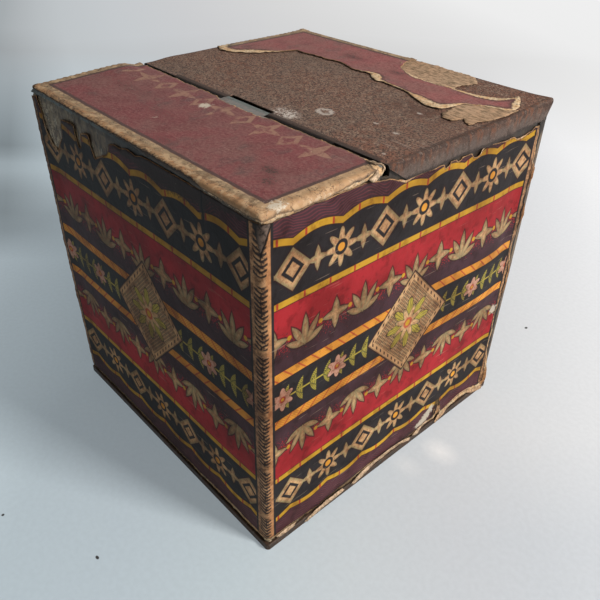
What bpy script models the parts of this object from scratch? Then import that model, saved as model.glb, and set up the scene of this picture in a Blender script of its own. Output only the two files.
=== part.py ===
"""Tinplate tea tin: two folded body sheets, a seamed bottom, a fixed top panel and a hinged lid, papered outside.

The origin is the middle of the footprint at floor level. +Z is up, -Y is the side of the fixed top panel, and
the lid turns about a line along X.
"""

import math

import bmesh
import bpy
from mathutils import Matrix

# Overall sizes, in metres
CASE_WIDTH = 0.196        # along X, outside the side papers
CASE_DEPTH = 0.200        # along Y, outside the front and back papers
CASE_HEIGHT = 0.2055      # floor to the paper on top

# Stock and clearances
SHEET = 0.0005            # tinplate
PAPER = 0.0003            # printed label
GAP = 0.0003              # between pieces that rest on each other
OVERRUN = 0.004           # how far a cutter runs past what it cuts
LAP = 0.0015              # how far two shapes of one sheet run into each other

# Body sheets
CORNER_RADIUS = 0.0025
FOOT_HEM = 0.0026
MOUTH_HEM = 0.005
MOUTH_ROUND = 0.0006
SEAM_WIDTH = 0.006        # from the corner to the fold of the lock seam
SEAM_JOG = 0.002          # run over which a sheet steps in to go under the seam
SEAM_SLACK = 0.0005       # play inside the seam's folds

# Bottom
RIM_HEIGHT = 0.0042
RIM_EASE = 0.0003         # rounding of the rim's edges
RIM_CORNER_RADIUS = 0.002
BOTTOM_RECESS = 0.0035    # floor to the underside of the bottom panel

# Hinge
HINGE_Y = -0.0285
BARREL_RADIUS = 0.0027
BARREL_TURN = math.radians(300)
WIRE_RADIUS = 0.00185
HINGE_GAP = 0.0012        # between a barrel and the edge of the other sheet
KNUCKLE_WIDTH = 0.034     # middle barrel, on the fixed panel
BARREL_WIDTH = 0.0474     # each of the lid's two barrels
KNUCKLE_GAP = 0.0004      # between neighbouring barrels
WIRE_INSET = 0.0006       # wire end inside its barrel

# Fixed top panel
FLANGE_DEPTH = 0.003
PANEL_BEND = 0.0015
HINGE_LIP = 0.0055
LIP_BEND = 0.0008

# Lid
LID_CLEARANCE = 0.0009    # between the skirt and the body sheets
SKIRT_DEPTH = 0.0105
LID_BEND = 0.0024
LID_REACH = 0.0015        # how far the lid's plain edge passes the hinge line
LID_HEM = 0.006
SKIRT_SLANT = 0.012       # how far the skirt's lower corner stands back from the hinge line
PLATE_CORNER = 0.0018     # corners of the panel and the lid, seen from above

# Papers
PAPER_WRAP = 0.0026       # how far the top paper turns down over the flange
PAPER_SETBACK = 0.0006    # top paper's edge behind the panel's edge
PAPER_MARGIN = 0.0012     # side papers' upper edge below the skirt
LID_PAPER_INSET = 0.003

# Levels and half sizes that follow from the values above
WALL_X = CASE_WIDTH / 2 - PAPER - GAP
WALL_Y = CASE_DEPTH / 2 - PAPER - GAP
PANEL_TOP = CASE_HEIGHT - PAPER - GAP
WALL_TOP = PANEL_TOP - SHEET - GAP
WALL_FOOT = SHEET + GAP
HINGE_Z = PANEL_TOP - BARREL_RADIUS
PANEL_EDGE = HINGE_Y - BARREL_RADIUS - HINGE_GAP
LID_NOTCH_EDGE = HINGE_Y + BARREL_RADIUS + HINGE_GAP
PITCH = SHEET + GAP       # one layer of a fold to the next
BARREL_START = KNUCKLE_WIDTH / 2 + KNUCKLE_GAP
BARREL_END = BARREL_START + BARREL_WIDTH
SKIRT_FOOT = PANEL_TOP - SKIRT_DEPTH
PAPER_FOOT = RIM_HEIGHT + GAP
PAPER_TOP = PANEL_TOP - FLANGE_DEPTH - GAP
PAPER_UNDER_LID = SKIRT_FOOT - PAPER_MARGIN
MOUTH_NOTCH_FLOOR = HINGE_Z - BARREL_RADIUS - GAP

ARC_STEPS = 5
BARREL_STEPS = 20
WIRE_SIDES = 20

# Torn edges of the side papers: share of the run along the paper, share of the paper's height
TORN_TOP_SHARES = [
    (0.000, 0.995), (0.018, 0.985), (0.030, 0.900), (0.052, 0.885), (0.072, 0.925), (0.105, 0.942), (0.150, 0.935),
    (0.168, 0.915), (0.190, 0.945), (0.205, 0.972), (0.245, 0.985), (0.300, 0.975), (0.345, 0.962), (0.370, 0.990),
    (0.420, 0.998), (0.470, 0.985), (0.495, 1.000), (0.520, 0.996), (0.600, 0.990), (0.640, 1.000), (0.664, 0.992),
]
UNDER_SKIRT_DROP_SHARES = [0.000, 0.006, 0.001, 0.008, 0.003, 0.010, 0.002, 0.005, 0.012, 0.004]
TORN_FOOT_SHARES = [
    (0.000, 0.000), (0.300, 0.002), (0.480, 0.000), (0.560, 0.004), (0.620, 0.012), (0.650, 0.004), (0.700, 0.018),
    (0.740, 0.006), (0.800, 0.010), (0.820, 0.042), (0.838, 0.060), (0.852, 0.030), (0.865, 0.004), (0.950, 0.006),
    (0.975, 0.020), (1.000, 0.012),
]

# Outline of the paper left on the lid: shares of the lid's width from -X, and of its run from the hinge to +Y
LID_PAPER_SHARES = [
    (0.015, 0.985), (0.400, 0.985), (0.620, 0.980), (0.790, 0.975), (0.800, 0.900), (0.870, 0.865), (0.945, 0.915),
    (0.965, 0.860), (0.950, 0.700), (0.925, 0.560), (0.890, 0.485), (0.840, 0.480), (0.790, 0.575), (0.740, 0.600),
    (0.670, 0.640), (0.600, 0.655), (0.520, 0.655), (0.445, 0.690), (0.360, 0.715), (0.270, 0.690), (0.185, 0.650),
    (0.150, 0.590), (0.110, 0.480), (0.060, 0.400), (0.015, 0.405),
]


def material(name, colour, roughness, metallic):
    """A Principled material with one base colour."""
    made = bpy.data.materials.new(name)
    made.use_nodes = True
    shader = made.node_tree.nodes["Principled BSDF"]
    shader.inputs["Base Color"].default_value = (*colour, 1.0)
    shader.inputs["Roughness"].default_value = roughness
    shader.inputs["Metallic"].default_value = metallic
    made.diffuse_color = (*colour, 1.0)
    return made


def new_object(name, vertices, faces, look=None):
    """Mesh object from points and faces, with its faces turned outwards."""
    mesh = bpy.data.meshes.new(name)
    shape = bmesh.new()
    points = [shape.verts.new(point) for point in vertices]
    for face in faces:
        shape.faces.new([points[index] for index in face])
    bmesh.ops.recalc_face_normals(shape, faces=shape.faces)
    shape.to_mesh(mesh)
    shape.free()
    made = bpy.data.objects.new(name, mesh)
    bpy.context.scene.collection.objects.link(made)
    if look:
        mesh.materials.append(look)
    return made


def combine(base, other, operation):
    """Joins other to base, or cuts it away, and removes other."""
    modifier = base.modifiers.new(operation.title(), "BOOLEAN")
    modifier.operation = operation
    modifier.solver = "EXACT"
    modifier.object = other
    bpy.context.view_layer.update()
    old = base.data
    base.data = bpy.data.meshes.new_from_object(base.evaluated_get(bpy.context.evaluated_depsgraph_get()))
    base.data.name = base.name
    base.modifiers.clear()
    bpy.data.meshes.remove(old)
    bpy.data.objects.remove(other, do_unlink=True)


def turn_half_round(piece):
    """Turns a mesh half round about the tin's upright axis."""
    piece.data.transform(Matrix.Rotation(math.pi, 4, "Z"))


def finish(piece):
    """Shades the bends smooth and keeps the folds sharp."""
    piece.data.shade_smooth()
    piece.data.set_sharp_from_angle(angle=math.radians(35))


def arc(centre_x, centre_y, radius, start, end, steps):
    """Points along a circular arc, both ends included."""
    turn = (end - start) / steps
    return [
        (centre_x + radius * math.cos(start + turn * step), centre_y + radius * math.sin(start + turn * step))
        for step in range(steps + 1)
    ]


def side_vectors(path):
    """For each point of an open path, the mitred vector one unit to its right."""
    vectors = []
    for index, here in enumerate(path):
        before = path[index - 1] if index else None
        after = path[index + 1] if index < len(path) - 1 else None
        sides = []
        for start, end in ((before, here), (here, after)):
            if start is None or end is None:
                continue
            run_x, run_y = end[0] - start[0], end[1] - start[1]
            length = math.hypot(run_x, run_y)
            sides.append((run_y / length, -run_x / length))
        if len(sides) == 1:
            vectors.append(sides[0])
            continue
        spread = 1 + sides[0][0] * sides[1][0] + sides[0][1] * sides[1][1]
        vectors.append(((sides[0][0] + sides[1][0]) / spread, (sides[0][1] + sides[1][1]) / spread))
    return vectors


def strip_outline(path, thickness):
    """Outline of a sheet whose middle follows the path."""
    half = thickness / 2
    sides = side_vectors(path)
    right = [(x + half * side[0], y + half * side[1]) for (x, y), side in zip(path, sides)]
    left = [(x - half * side[0], y - half * side[1]) for (x, y), side in zip(path, sides)]
    return right + left[::-1]


def ring_faces(count, rings):
    """Faces of a solid made of rings of count points: a cap at both ends and quads from ring to ring."""
    last = (rings - 1) * count
    faces = [tuple(range(count)), tuple(last + i for i in range(count))]
    for start in range(0, last, count):
        faces += [
            (start + i, start + (i + 1) % count, start + count + (i + 1) % count, start + count + i)
            for i in range(count)
        ]
    return faces


def prism(name, outline, low, high, along="Z", look=None):
    """Outline in the plane across an axis, extruded along that axis from low to high."""
    places = {
        "X": lambda first, second, level: (level, first, second),
        "Z": lambda first, second, level: (first, second, level),
    }
    place = places[along]
    vertices = [place(first, second, level) for level in (low, high) for first, second in outline]
    return new_object(name, vertices, ring_faces(len(outline), 2), look)


def block(name, x_range, y_range, z_range):
    """Plain box, used as a cutter."""
    outline = [
        (x_range[0], y_range[0]), (x_range[1], y_range[0]), (x_range[1], y_range[1]), (x_range[0], y_range[1]),
    ]
    return prism(name, outline, *z_range)


def sweep(name, profile, path, look=None):
    """Closed profile of (outward, height) points carried along an open path in plan."""
    vertices = []
    for (x, y), side in zip(path, side_vectors(path)):
        vertices += [(x + out * side[0], y + out * side[1], height) for out, height in profile]
    return new_object(name, vertices, ring_faces(len(profile), len(path)), look)


def rounded_rectangle(x_half, y_low, y_high, radius):
    """Rectangle in plan with round corners, counterclockwise from the middle of the -Y, +X corner."""
    quarter = math.pi / 2
    corners = [
        (x_half - radius, y_low + radius, -quarter), (x_half - radius, y_high - radius, 0.0),
        (radius - x_half, y_high - radius, quarter), (radius - x_half, y_low + radius, 2 * quarter),
    ]
    points = []
    for centre_x, centre_y, start in corners:
        points += arc(centre_x, centre_y, radius, start, start + quarter, ARC_STEPS)
    return points


def stacked_loops(name, loops, look=None):
    """Closed solid from equal loops of points, each joined to the next, with a flat cap at both ends."""
    vertices = [point for loop in loops for point in loop]
    return new_object(name, vertices, ring_faces(len(loops[0]), len(loops)), look)


def tray(name, x_half, y_low, y_high, top, depth, bend, thickness, look=None):
    """Sheet turned down on all four sides, open below."""
    def section(offset_out, radius):
        """Outer or inner face of the sheet: (inset, height) points from the foot up to the flat."""
        points = [(offset_out, top - depth)]
        points += [
            (bend - radius * math.cos(math.pi / 2 * step / ARC_STEPS),
             top - bend + radius * math.sin(math.pi / 2 * step / ARC_STEPS))
            for step in range(ARC_STEPS + 1)
        ]
        return points
    outer = section(0.0, bend)
    inner = section(thickness, bend - thickness)
    loops = []
    for inset, height in outer[::-1] + inner:
        radius = max(PLATE_CORNER - inset, SHEET / 2)
        plan = rounded_rectangle(x_half - inset, y_low + inset, y_high - inset, radius)
        loops.append([(x, y, height) for x, y in plan])
    return stacked_loops(name, loops, look)


def body_corner(side_x, side_y, offset, radius):
    """Round corner of the body in plan, walked counterclockwise, offset inwards from the sheet's outer face."""
    start = math.atan2(side_y, side_x) - math.pi / 4
    centre_x = side_x * (WALL_X - CORNER_RADIUS)
    centre_y = side_y * (WALL_Y - CORNER_RADIUS)
    return arc(centre_x, centre_y, radius - offset, start, start + math.pi / 2, ARC_STEPS)


def wall_profile():
    """Wall in section: foot folded outwards, mouth folded inwards, as (outward, height) points."""
    fold = PITCH
    hem_face = -(SHEET + PITCH)
    mouth_outer = arc(-MOUTH_ROUND, WALL_TOP - MOUTH_ROUND, MOUTH_ROUND, 0.0, math.pi / 2, 3)
    return [
        (fold, WALL_FOOT),
        (fold, WALL_FOOT + FOOT_HEM),
        (GAP, WALL_FOOT + FOOT_HEM),
        (GAP, WALL_FOOT + SHEET),
        (0.0, WALL_FOOT + SHEET),
        *mouth_outer,
        (hem_face, WALL_TOP),
        (hem_face, WALL_TOP - MOUTH_HEM),
        (-PITCH, WALL_TOP - MOUTH_HEM),
        (-PITCH, WALL_TOP - SHEET),
        (-SHEET, WALL_TOP - SHEET),
        (-SHEET, WALL_FOOT),
    ]


def body_sheet(name, look, turned=False):
    """L-shaped sheet for the -Y and +X walls, or turned half round for the other two.

    It has one half of a lock seam along each upright edge, and a notch at the hinge line.
    """
    middle = SHEET / 2
    seam_end = WALL_Y - SEAM_WIDTH
    step_end = seam_end - SEAM_SLACK
    step_start = step_end - SEAM_JOG
    hook_end = WALL_Y - CORNER_RADIUS + SHEET - GAP
    outer_x = WALL_X - middle

    path = [(-WALL_X, -seam_end)]
    path += body_corner(-1, -1, 0.0, CORNER_RADIUS)
    path += body_corner(1, -1, 0.0, CORNER_RADIUS)
    path += [(WALL_X, step_start)]
    sheet = sweep(name, wall_profile(), path, look)

    hook_low = BOTTOM_RECESS + SHEET + GAP
    hook_high = WALL_TOP - MOUTH_HEM - GAP
    over_hook = [
        (-outer_x, -seam_end - LAP),
        (-outer_x, -seam_end - middle),
        (-outer_x + 2 * PITCH, -seam_end - middle),
        (-outer_x + 2 * PITCH, SEAM_SLACK + SHEET - hook_end),
    ]
    under_hook = [
        (outer_x, step_start - LAP),
        (outer_x, step_start),
        (outer_x - 3 * PITCH, step_end - middle),
        (outer_x - 3 * PITCH, hook_end - middle),
        (outer_x - PITCH, hook_end - middle),
        (outer_x - PITCH, seam_end + SHEET + SEAM_SLACK),
    ]
    for number, hook in enumerate((over_hook, under_hook)):
        outline = strip_outline(hook, SHEET)
        combine(sheet, prism(f"hook_{number}", outline, hook_low, hook_high), "UNION")

    if turned:
        turn_half_round(sheet)
    side = -1 if turned else 1
    notch = block(
        "notch", sorted((side * (WALL_X - MOUTH_HEM), side * (WALL_X + OVERRUN))),
        (PANEL_EDGE - GAP, HINGE_Y + GAP), (MOUTH_NOTCH_FLOOR, WALL_TOP + OVERRUN),
    )
    combine(sheet, notch, "DIFFERENCE")
    finish(sheet)
    return sheet


def bottom_plate(look):
    """Recessed bottom with a folded rim that grips the body sheets' feet."""
    inner_face = -(PITCH + SHEET)
    outer_face = 2 * PITCH
    channel_face = outer_face - SHEET
    panel_top = BOTTOM_RECESS + SHEET
    section = [
        (-PITCH, panel_top),
        (-PITCH, SHEET),
        (channel_face, SHEET),
        (channel_face, RIM_HEIGHT - SHEET),
        (GAP, RIM_HEIGHT - SHEET),
        (GAP, RIM_HEIGHT),
        (outer_face - RIM_EASE, RIM_HEIGHT),
        (outer_face, RIM_HEIGHT - RIM_EASE),
        (outer_face, RIM_EASE),
        (outer_face - RIM_EASE, 0.0),
        (inner_face + RIM_EASE, 0.0),
        (inner_face, RIM_EASE),
        (inner_face, BOTTOM_RECESS),
    ]
    loops = []
    for out, height in section:
        radius = RIM_CORNER_RADIUS if out > channel_face else CORNER_RADIUS + out
        plan = rounded_rectangle(WALL_X + out, -WALL_Y - out, WALL_Y + out, radius)
        loops.append([(x, y, height) for x, y in plan])
    plate = stacked_loops("bottom_plate", loops, look)
    finish(plate)
    return plate


def barrel(name, direction, low, high):
    """Sheet that runs along the top, then rolls round the hinge line; direction is +1 from +Y and -1 from -Y."""
    middle = BARREL_RADIUS - SHEET / 2
    start = math.pi / 2
    roll = arc(HINGE_Y, HINGE_Z, middle, start, start + direction * BARREL_TURN, BARREL_STEPS)
    run_in = HINGE_Y + direction * (LAP + HINGE_GAP + BARREL_RADIUS)
    path = [(run_in, HINGE_Z + middle)] + roll
    return prism(name, strip_outline(path, SHEET), low, high, along="X")


def top_plate(look):
    """Fixed panel with turned-down sides, a stiffening lip at its free edge and the middle barrel."""
    x_half = WALL_X + PITCH
    plate = tray(
        "top_plate", x_half, -WALL_Y - PITCH, HINGE_Y, PANEL_TOP, FLANGE_DEPTH, PANEL_BEND, SHEET, look,
    )
    level = (PANEL_TOP - FLANGE_DEPTH - OVERRUN, PANEL_TOP + OVERRUN)
    free_edge = block(
        "free_edge", (-x_half - OVERRUN, x_half + OVERRUN), (PANEL_EDGE - LAP, HINGE_Y + OVERRUN), level,
    )
    combine(plate, free_edge, "DIFFERENCE")

    flat = PANEL_TOP - SHEET / 2
    face = PANEL_EDGE - SHEET / 2
    lip_path = [(PANEL_EDGE - LAP - LAP, flat)]
    lip_path += arc(face - LIP_BEND, flat - LIP_BEND, LIP_BEND, math.pi / 2, 0.0, ARC_STEPS)
    lip_path += [(face, PANEL_TOP - HINGE_LIP)]
    lip_outline = strip_outline(lip_path, SHEET)
    lip_end = WALL_X - SHEET - PITCH - GAP
    knuckle_half = KNUCKLE_WIDTH / 2
    for number, side in enumerate((-1, 1)):
        ends = sorted((side * (knuckle_half + KNUCKLE_GAP), side * lip_end))
        combine(plate, prism(f"lip_{number}", lip_outline, *ends, along="X"), "UNION")

    edge_tab_outline = strip_outline([(PANEL_EDGE - LAP - LAP, flat), (PANEL_EDGE, flat)], SHEET)
    for number, side in enumerate((-1, 1)):
        ends = sorted((side * (lip_end - LAP), side * (x_half - PANEL_BEND)))
        combine(plate, prism(f"tab_{number}", edge_tab_outline, *ends, along="X"), "UNION")

    combine(plate, barrel("knuckle", -1, -knuckle_half, knuckle_half), "UNION")
    finish(plate)
    return plate


def lid_plate(look):
    """Lid with a skirt on three sides, a folded plain edge and two barrels at the hinge."""
    x_half = WALL_X + LID_CLEARANCE + SHEET
    y_high = WALL_Y + LID_CLEARANCE + SHEET
    y_low = HINGE_Y - SKIRT_DEPTH - OVERRUN
    plate = tray("lid_plate", x_half, y_low, y_high, PANEL_TOP, SKIRT_DEPTH, LID_BEND, SHEET, look)

    edge = HINGE_Y - LID_REACH
    below = SKIRT_FOOT - OVERRUN
    above = PANEL_TOP + OVERRUN
    hinge_end = [
        (y_low - OVERRUN, below),
        (HINGE_Y + SKIRT_SLANT, below),
        (HINGE_Y + SKIRT_SLANT, SKIRT_FOOT),
        (edge, PANEL_TOP - SHEET - LIP_BEND),
        (edge, above),
        (y_low - OVERRUN, above),
    ]
    combine(
        plate, prism("hinge_end", hinge_end, -x_half - OVERRUN, x_half + OVERRUN, along="X"), "DIFFERENCE",
    )
    level = (SKIRT_FOOT, above)
    middle_notch = block(
        "middle_notch", (-BARREL_START, BARREL_START), (edge - OVERRUN, LID_NOTCH_EDGE), level,
    )
    combine(plate, middle_notch, "DIFFERENCE")
    for side in (-1, 1):
        ends = sorted((side * (BARREL_START - KNUCKLE_GAP), side * (BARREL_END + KNUCKLE_GAP)))
        combine(plate, block("barrel_notch", ends, (edge - OVERRUN, HINGE_Y + LAP), level), "DIFFERENCE")
        ends = sorted((side * BARREL_START, side * BARREL_END))
        combine(plate, barrel("lid_barrel", 1, *ends), "UNION")

    fold_top = PANEL_TOP - SHEET / 2
    fold_path = [
        (edge + LAP, fold_top),
        (edge + SHEET / 2, fold_top),
        (edge + SHEET / 2, fold_top - PITCH),
        (edge + LID_HEM, fold_top - PITCH),
    ]
    fold_outline = strip_outline(fold_path, SHEET)
    fold_end = WALL_X - SHEET - PITCH - GAP
    for side in (-1, 1):
        ends = sorted((side * (BARREL_END + 2 * KNUCKLE_GAP), side * fold_end))
        combine(plate, prism("fold", fold_outline, *ends, along="X"), "UNION")
    finish(plate)
    return plate


def hinge_wire(look):
    """Straight wire through the three barrels."""
    outline = arc(HINGE_Y, HINGE_Z, WIRE_RADIUS, 0.0, 2 * math.pi, WIRE_SIDES)[:-1]
    reach = BARREL_END - WIRE_INSET
    wire = prism("hinge_wire", outline, -reach, reach, along="X", look=look)
    finish(wire)
    return wire


def paper_path():
    """Line that a side paper's middle follows: along -Y, round the corner and along +X to the seam."""
    offset = -(GAP + PAPER / 2)
    path = body_corner(-1, -1, offset, CORNER_RADIUS)[-1:]
    path += body_corner(1, -1, offset, CORNER_RADIUS)
    path += [(WALL_X - offset, WALL_Y - SEAM_WIDTH - SEAM_SLACK - SEAM_JOG)]
    return path


def run_lengths(path):
    """Distance along the path to each of its points."""
    lengths = [0.0]
    for start, end in zip(path, path[1:]):
        lengths.append(lengths[-1] + math.dist(start, end))
    return lengths


def value_at(table, place):
    """Straight-line reading of a table of (place, value) pairs."""
    for (start, first), (end, second) in zip(table, table[1:]):
        if place <= end:
            part = (place - start) / (end - start)
            return first + part * (second - first)
    return table[-1][1]


def side_paper(name, top_edge, foot_edge, look):
    """Label bent round one corner, with uneven edges given as (distance along, height) tables."""
    path = paper_path()
    lengths = run_lengths(path)
    places = sorted(set(lengths) | {place for place, _ in top_edge + foot_edge if place < lengths[-1]})
    across = [(length, point[0]) for length, point in zip(lengths, path)]
    along = [(length, point[1]) for length, point in zip(lengths, path)]
    columns = [(value_at(across, place), value_at(along, place)) for place in places]
    half = PAPER / 2
    vertices = []
    for place, (x, y), side in zip(places, columns, side_vectors(columns)):
        low = value_at(foot_edge, place)
        high = value_at(top_edge, place)
        for out, height in ((half, low), (half, high), (-half, high), (-half, low)):
            vertices.append((x + out * side[0], y + out * side[1], height))
    paper = new_object(name, vertices, ring_faces(4, len(columns)), look)
    finish(paper)
    return paper


def edge_heights(shares, run):
    """Turns shares of a side paper into distances along it and heights."""
    tall = PAPER_TOP - PAPER_FOOT
    return [(share * run, PAPER_FOOT + level * tall) for share, level in shares]


def under_skirt(start, end):
    """Upper edge of a side paper below the lid's skirt, uneven, from start to end along the paper."""
    steps = len(UNDER_SKIRT_DROP_SHARES) - 1
    tall = PAPER_TOP - PAPER_FOOT
    return [
        (start + (end - start) * step / steps, PAPER_UNDER_LID - drop * tall)
        for step, drop in enumerate(UNDER_SKIRT_DROP_SHARES)
    ]


def front_paper(look):
    """Paper on the -Y and +X walls: full height beside the fixed panel, lower under the lid."""
    lengths = run_lengths(paper_path())
    run = lengths[-1]
    corner_end = lengths[-2]
    from_corner = WALL_Y - CORNER_RADIUS
    fixed_end = corner_end + from_corner + PANEL_EDGE - GAP
    slant_end = corner_end + from_corner + HINGE_Y + SKIRT_SLANT
    top = [(place, height) for place, height in edge_heights(TORN_TOP_SHARES, run) if place < fixed_end]
    top += [(fixed_end, PAPER_TOP), (fixed_end + GAP, MOUTH_NOTCH_FLOOR - GAP)]
    top += under_skirt(slant_end, run)
    return side_paper("label_front", top, edge_heights(TORN_FOOT_SHARES, run), look)


def back_paper(look):
    """Paper on the +Y and -X walls, made like the front one and turned half round."""
    lengths = run_lengths(paper_path())
    run = lengths[-1]
    corner_end = lengths[-2]
    from_corner = WALL_Y - CORNER_RADIUS
    slant_start = corner_end + from_corner - HINGE_Y - SKIRT_SLANT
    fixed_start = corner_end + from_corner - PANEL_EDGE + GAP
    top = under_skirt(0.0, slant_start)
    top += [(fixed_start - GAP, MOUTH_NOTCH_FLOOR - GAP), (fixed_start, PAPER_TOP), (run, PAPER_TOP)]
    foot = [(0.0, PAPER_FOOT), (run, PAPER_FOOT)]
    paper = side_paper("label_back", top, foot, look)
    turn_half_round(paper)
    return paper


def top_paper(look):
    """Paper over the fixed panel, turned down over its flanges."""
    skin = PITCH + GAP + PAPER
    paper = tray(
        "label_top", WALL_X + skin, -WALL_Y - skin, HINGE_Y, CASE_HEIGHT, PAPER_WRAP,
        PANEL_BEND + GAP + PAPER, PAPER, look,
    )
    x_end = WALL_X + skin + OVERRUN
    level = (CASE_HEIGHT - PAPER_WRAP - OVERRUN, CASE_HEIGHT + OVERRUN)
    combine(
        paper, block("paper_edge", (-x_end, x_end), (PANEL_EDGE - PAPER_SETBACK, HINGE_Y + OVERRUN), level),
        "DIFFERENCE",
    )
    finish(paper)
    return paper


def lid_paper(look):
    """What is left of the paper on the lid, torn along its hinge side."""
    x_half = WALL_X - LID_PAPER_INSET
    y_start = HINGE_Y
    y_end = WALL_Y - LID_PAPER_INSET
    outline = [
        (x_half * (2 * across - 1), y_start + deep * (y_end - y_start)) for across, deep in LID_PAPER_SHARES
    ]
    paper = prism("label_lid", outline, CASE_HEIGHT - PAPER, CASE_HEIGHT, look=look)
    finish(paper)
    return paper


def main():
    for old in list(bpy.data.objects):
        bpy.data.objects.remove(old, do_unlink=True)

    bare_tin = material("bare_tin", (0.32, 0.33, 0.34), 0.45, 0.8)
    dull_tin = material("dull_tin", (0.22, 0.17, 0.13), 0.6, 0.6)
    rusty_tin = material("rusty_tin", (0.13, 0.08, 0.06), 0.8, 0.3)
    steel_wire = material("steel_wire", (0.10, 0.09, 0.08), 0.6, 0.7)
    red_paper = material("red_paper", (0.33, 0.03, 0.03), 0.6, 0.0)
    dark_paper = material("dark_paper", (0.20, 0.05, 0.05), 0.6, 0.0)
    maroon_paper = material("maroon_paper", (0.22, 0.05, 0.06), 0.65, 0.0)

    bottom_plate(dull_tin)
    body_sheet("body_sheet_front", bare_tin)
    body_sheet("body_sheet_back", bare_tin, turned=True)
    top_plate(bare_tin)
    hinge_wire(steel_wire)
    front_paper(red_paper)
    back_paper(dark_paper)
    top_paper(maroon_paper)

    pivot = bpy.data.objects.new("lid_pivot", None)
    bpy.context.scene.collection.objects.link(pivot)
    pivot.location = (0.0, HINGE_Y, HINGE_Z)
    for piece in (lid_plate(rusty_tin), lid_paper(maroon_paper)):
        piece.parent = pivot
        piece.location = -pivot.location


main()
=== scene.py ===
"""Looks of an old tea tin: worn paper prints over tin plate, a rusted lid, pale floor, light and camera."""

import math

import bmesh
import bpy
import numpy as np
from mathutils import Matrix, Vector, geometry, kdtree, noise


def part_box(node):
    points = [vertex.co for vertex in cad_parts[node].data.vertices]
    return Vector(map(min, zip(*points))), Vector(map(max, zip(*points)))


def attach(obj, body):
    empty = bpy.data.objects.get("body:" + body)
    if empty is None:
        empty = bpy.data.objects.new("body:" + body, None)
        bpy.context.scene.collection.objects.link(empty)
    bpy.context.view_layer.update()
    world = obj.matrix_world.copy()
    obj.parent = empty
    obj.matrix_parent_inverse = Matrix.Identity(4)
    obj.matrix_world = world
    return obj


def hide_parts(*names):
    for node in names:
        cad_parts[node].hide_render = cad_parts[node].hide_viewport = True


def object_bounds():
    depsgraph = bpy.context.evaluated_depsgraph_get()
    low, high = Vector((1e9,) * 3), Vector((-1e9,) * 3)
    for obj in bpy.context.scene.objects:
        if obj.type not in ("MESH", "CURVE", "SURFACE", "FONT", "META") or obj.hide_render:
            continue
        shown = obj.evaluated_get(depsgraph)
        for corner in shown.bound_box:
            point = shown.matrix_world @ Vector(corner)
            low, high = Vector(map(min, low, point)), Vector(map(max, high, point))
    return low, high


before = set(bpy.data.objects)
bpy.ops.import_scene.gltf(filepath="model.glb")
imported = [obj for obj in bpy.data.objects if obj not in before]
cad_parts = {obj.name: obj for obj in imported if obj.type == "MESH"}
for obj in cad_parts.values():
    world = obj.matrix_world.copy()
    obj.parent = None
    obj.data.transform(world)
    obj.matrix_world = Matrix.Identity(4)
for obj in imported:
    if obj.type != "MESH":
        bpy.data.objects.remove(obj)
CAD_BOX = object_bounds()
scene = bpy.context.scene

# Without a seed, noise_vector would take one from the clock
noise.seed_set(7)

MM = 0.001

# Camera, found from the corners of the tin in the photograph
CAMERA_PLACE = Vector((0.26435, -0.23362, 0.31910))
CAMERA_AZIMUTH = math.radians(47.225)
CAMERA_ELEVATION = math.radians(35.431)
CAMERA_ROLL = math.radians(1.104)
CAMERA_LENS = 39.305
SENSOR_WIDTH = 36

# Places that the looks share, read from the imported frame
TOP = CAD_BOX[1].z
SIDE_PAPER_LOW, SIDE_PAPER_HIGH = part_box("label_front")
PAPER_X = SIDE_PAPER_HIGH.x
PAPER_Y = -SIDE_PAPER_LOW.y
TOP_PAPER_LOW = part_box("label_top")[0]
LID_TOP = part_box("lid_plate")[1].z

PAPER = 0.3 * MM
PAPER_CORNER = 3.1 * MM
TOP_PAPER_BEND = 1.2 * MM
LID_BEND = 2.7 * MM


# Shader sums

def srgb(colour):
    """Colour of a shader from one read off a screen, 0 to 255; one of four numbers is a shader's already."""
    if len(colour) == 4:
        return colour
    shares = [value / 255 for value in colour]
    return tuple(v / 12.92 if v <= 0.04045 else ((v + 0.055) / 1.055) ** 2.4 for v in shares) + (1,)


def connect(tree, slots, values):
    """Links inputs of nodes to sums, and sets the others to plain numbers."""
    for slot, value in zip(slots, values):
        if isinstance(value, Sum):
            tree.links.new(value.socket, slot)
        else:
            slot.default_value = value


class Sum:
    """A number, place or colour in a shader; plain arithmetic on it adds the nodes."""

    def __init__(self, tree, socket):
        self.tree = tree
        self.socket = socket

    def math(self, operation, *others, clamp=False):
        node = self.tree.nodes.new("ShaderNodeMath")
        node.operation = operation
        node.use_clamp = clamp
        connect(self.tree, node.inputs, (self, *others))
        return Sum(self.tree, node.outputs[0])

    def __add__(self, other):
        return self.math("ADD", other)

    def __sub__(self, other):
        return self.math("SUBTRACT", other)

    def __mul__(self, other):
        return self.math("MULTIPLY", other)

    def __neg__(self):
        return self.math("MULTIPLY", -1)

    def __abs__(self):
        return self.math("ABSOLUTE")

    def least(self, other):
        return self.math("MINIMUM", other)

    def most(self, other):
        return self.math("MAXIMUM", other)

    def sine(self):
        return self.math("SINE")

    def scaled(self, scale, plus):
        return self.math("MULTIPLY_ADD", scale, plus)

    def wrap(self, period):
        """Distance from the nearest whole number of periods, with its sign."""
        return self.math("WRAP", period / 2, -period / 2)

    def under(self, edge, soft=0.3):
        """1 below the edge and 0 above it, over a soft step."""
        return self.math("MULTIPLY_ADD", -1 / soft, edge / soft + 0.5, clamp=True)

    def over(self, edge, soft=0.3):
        """1 above the edge and 0 below it, over a soft step."""
        return self.math("MULTIPLY_ADD", 1 / soft, 0.5 - edge / soft, clamp=True)

    def between(self, low, high, soft=0.3):
        return self.over(low, soft) * self.under(high, soft)


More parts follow.
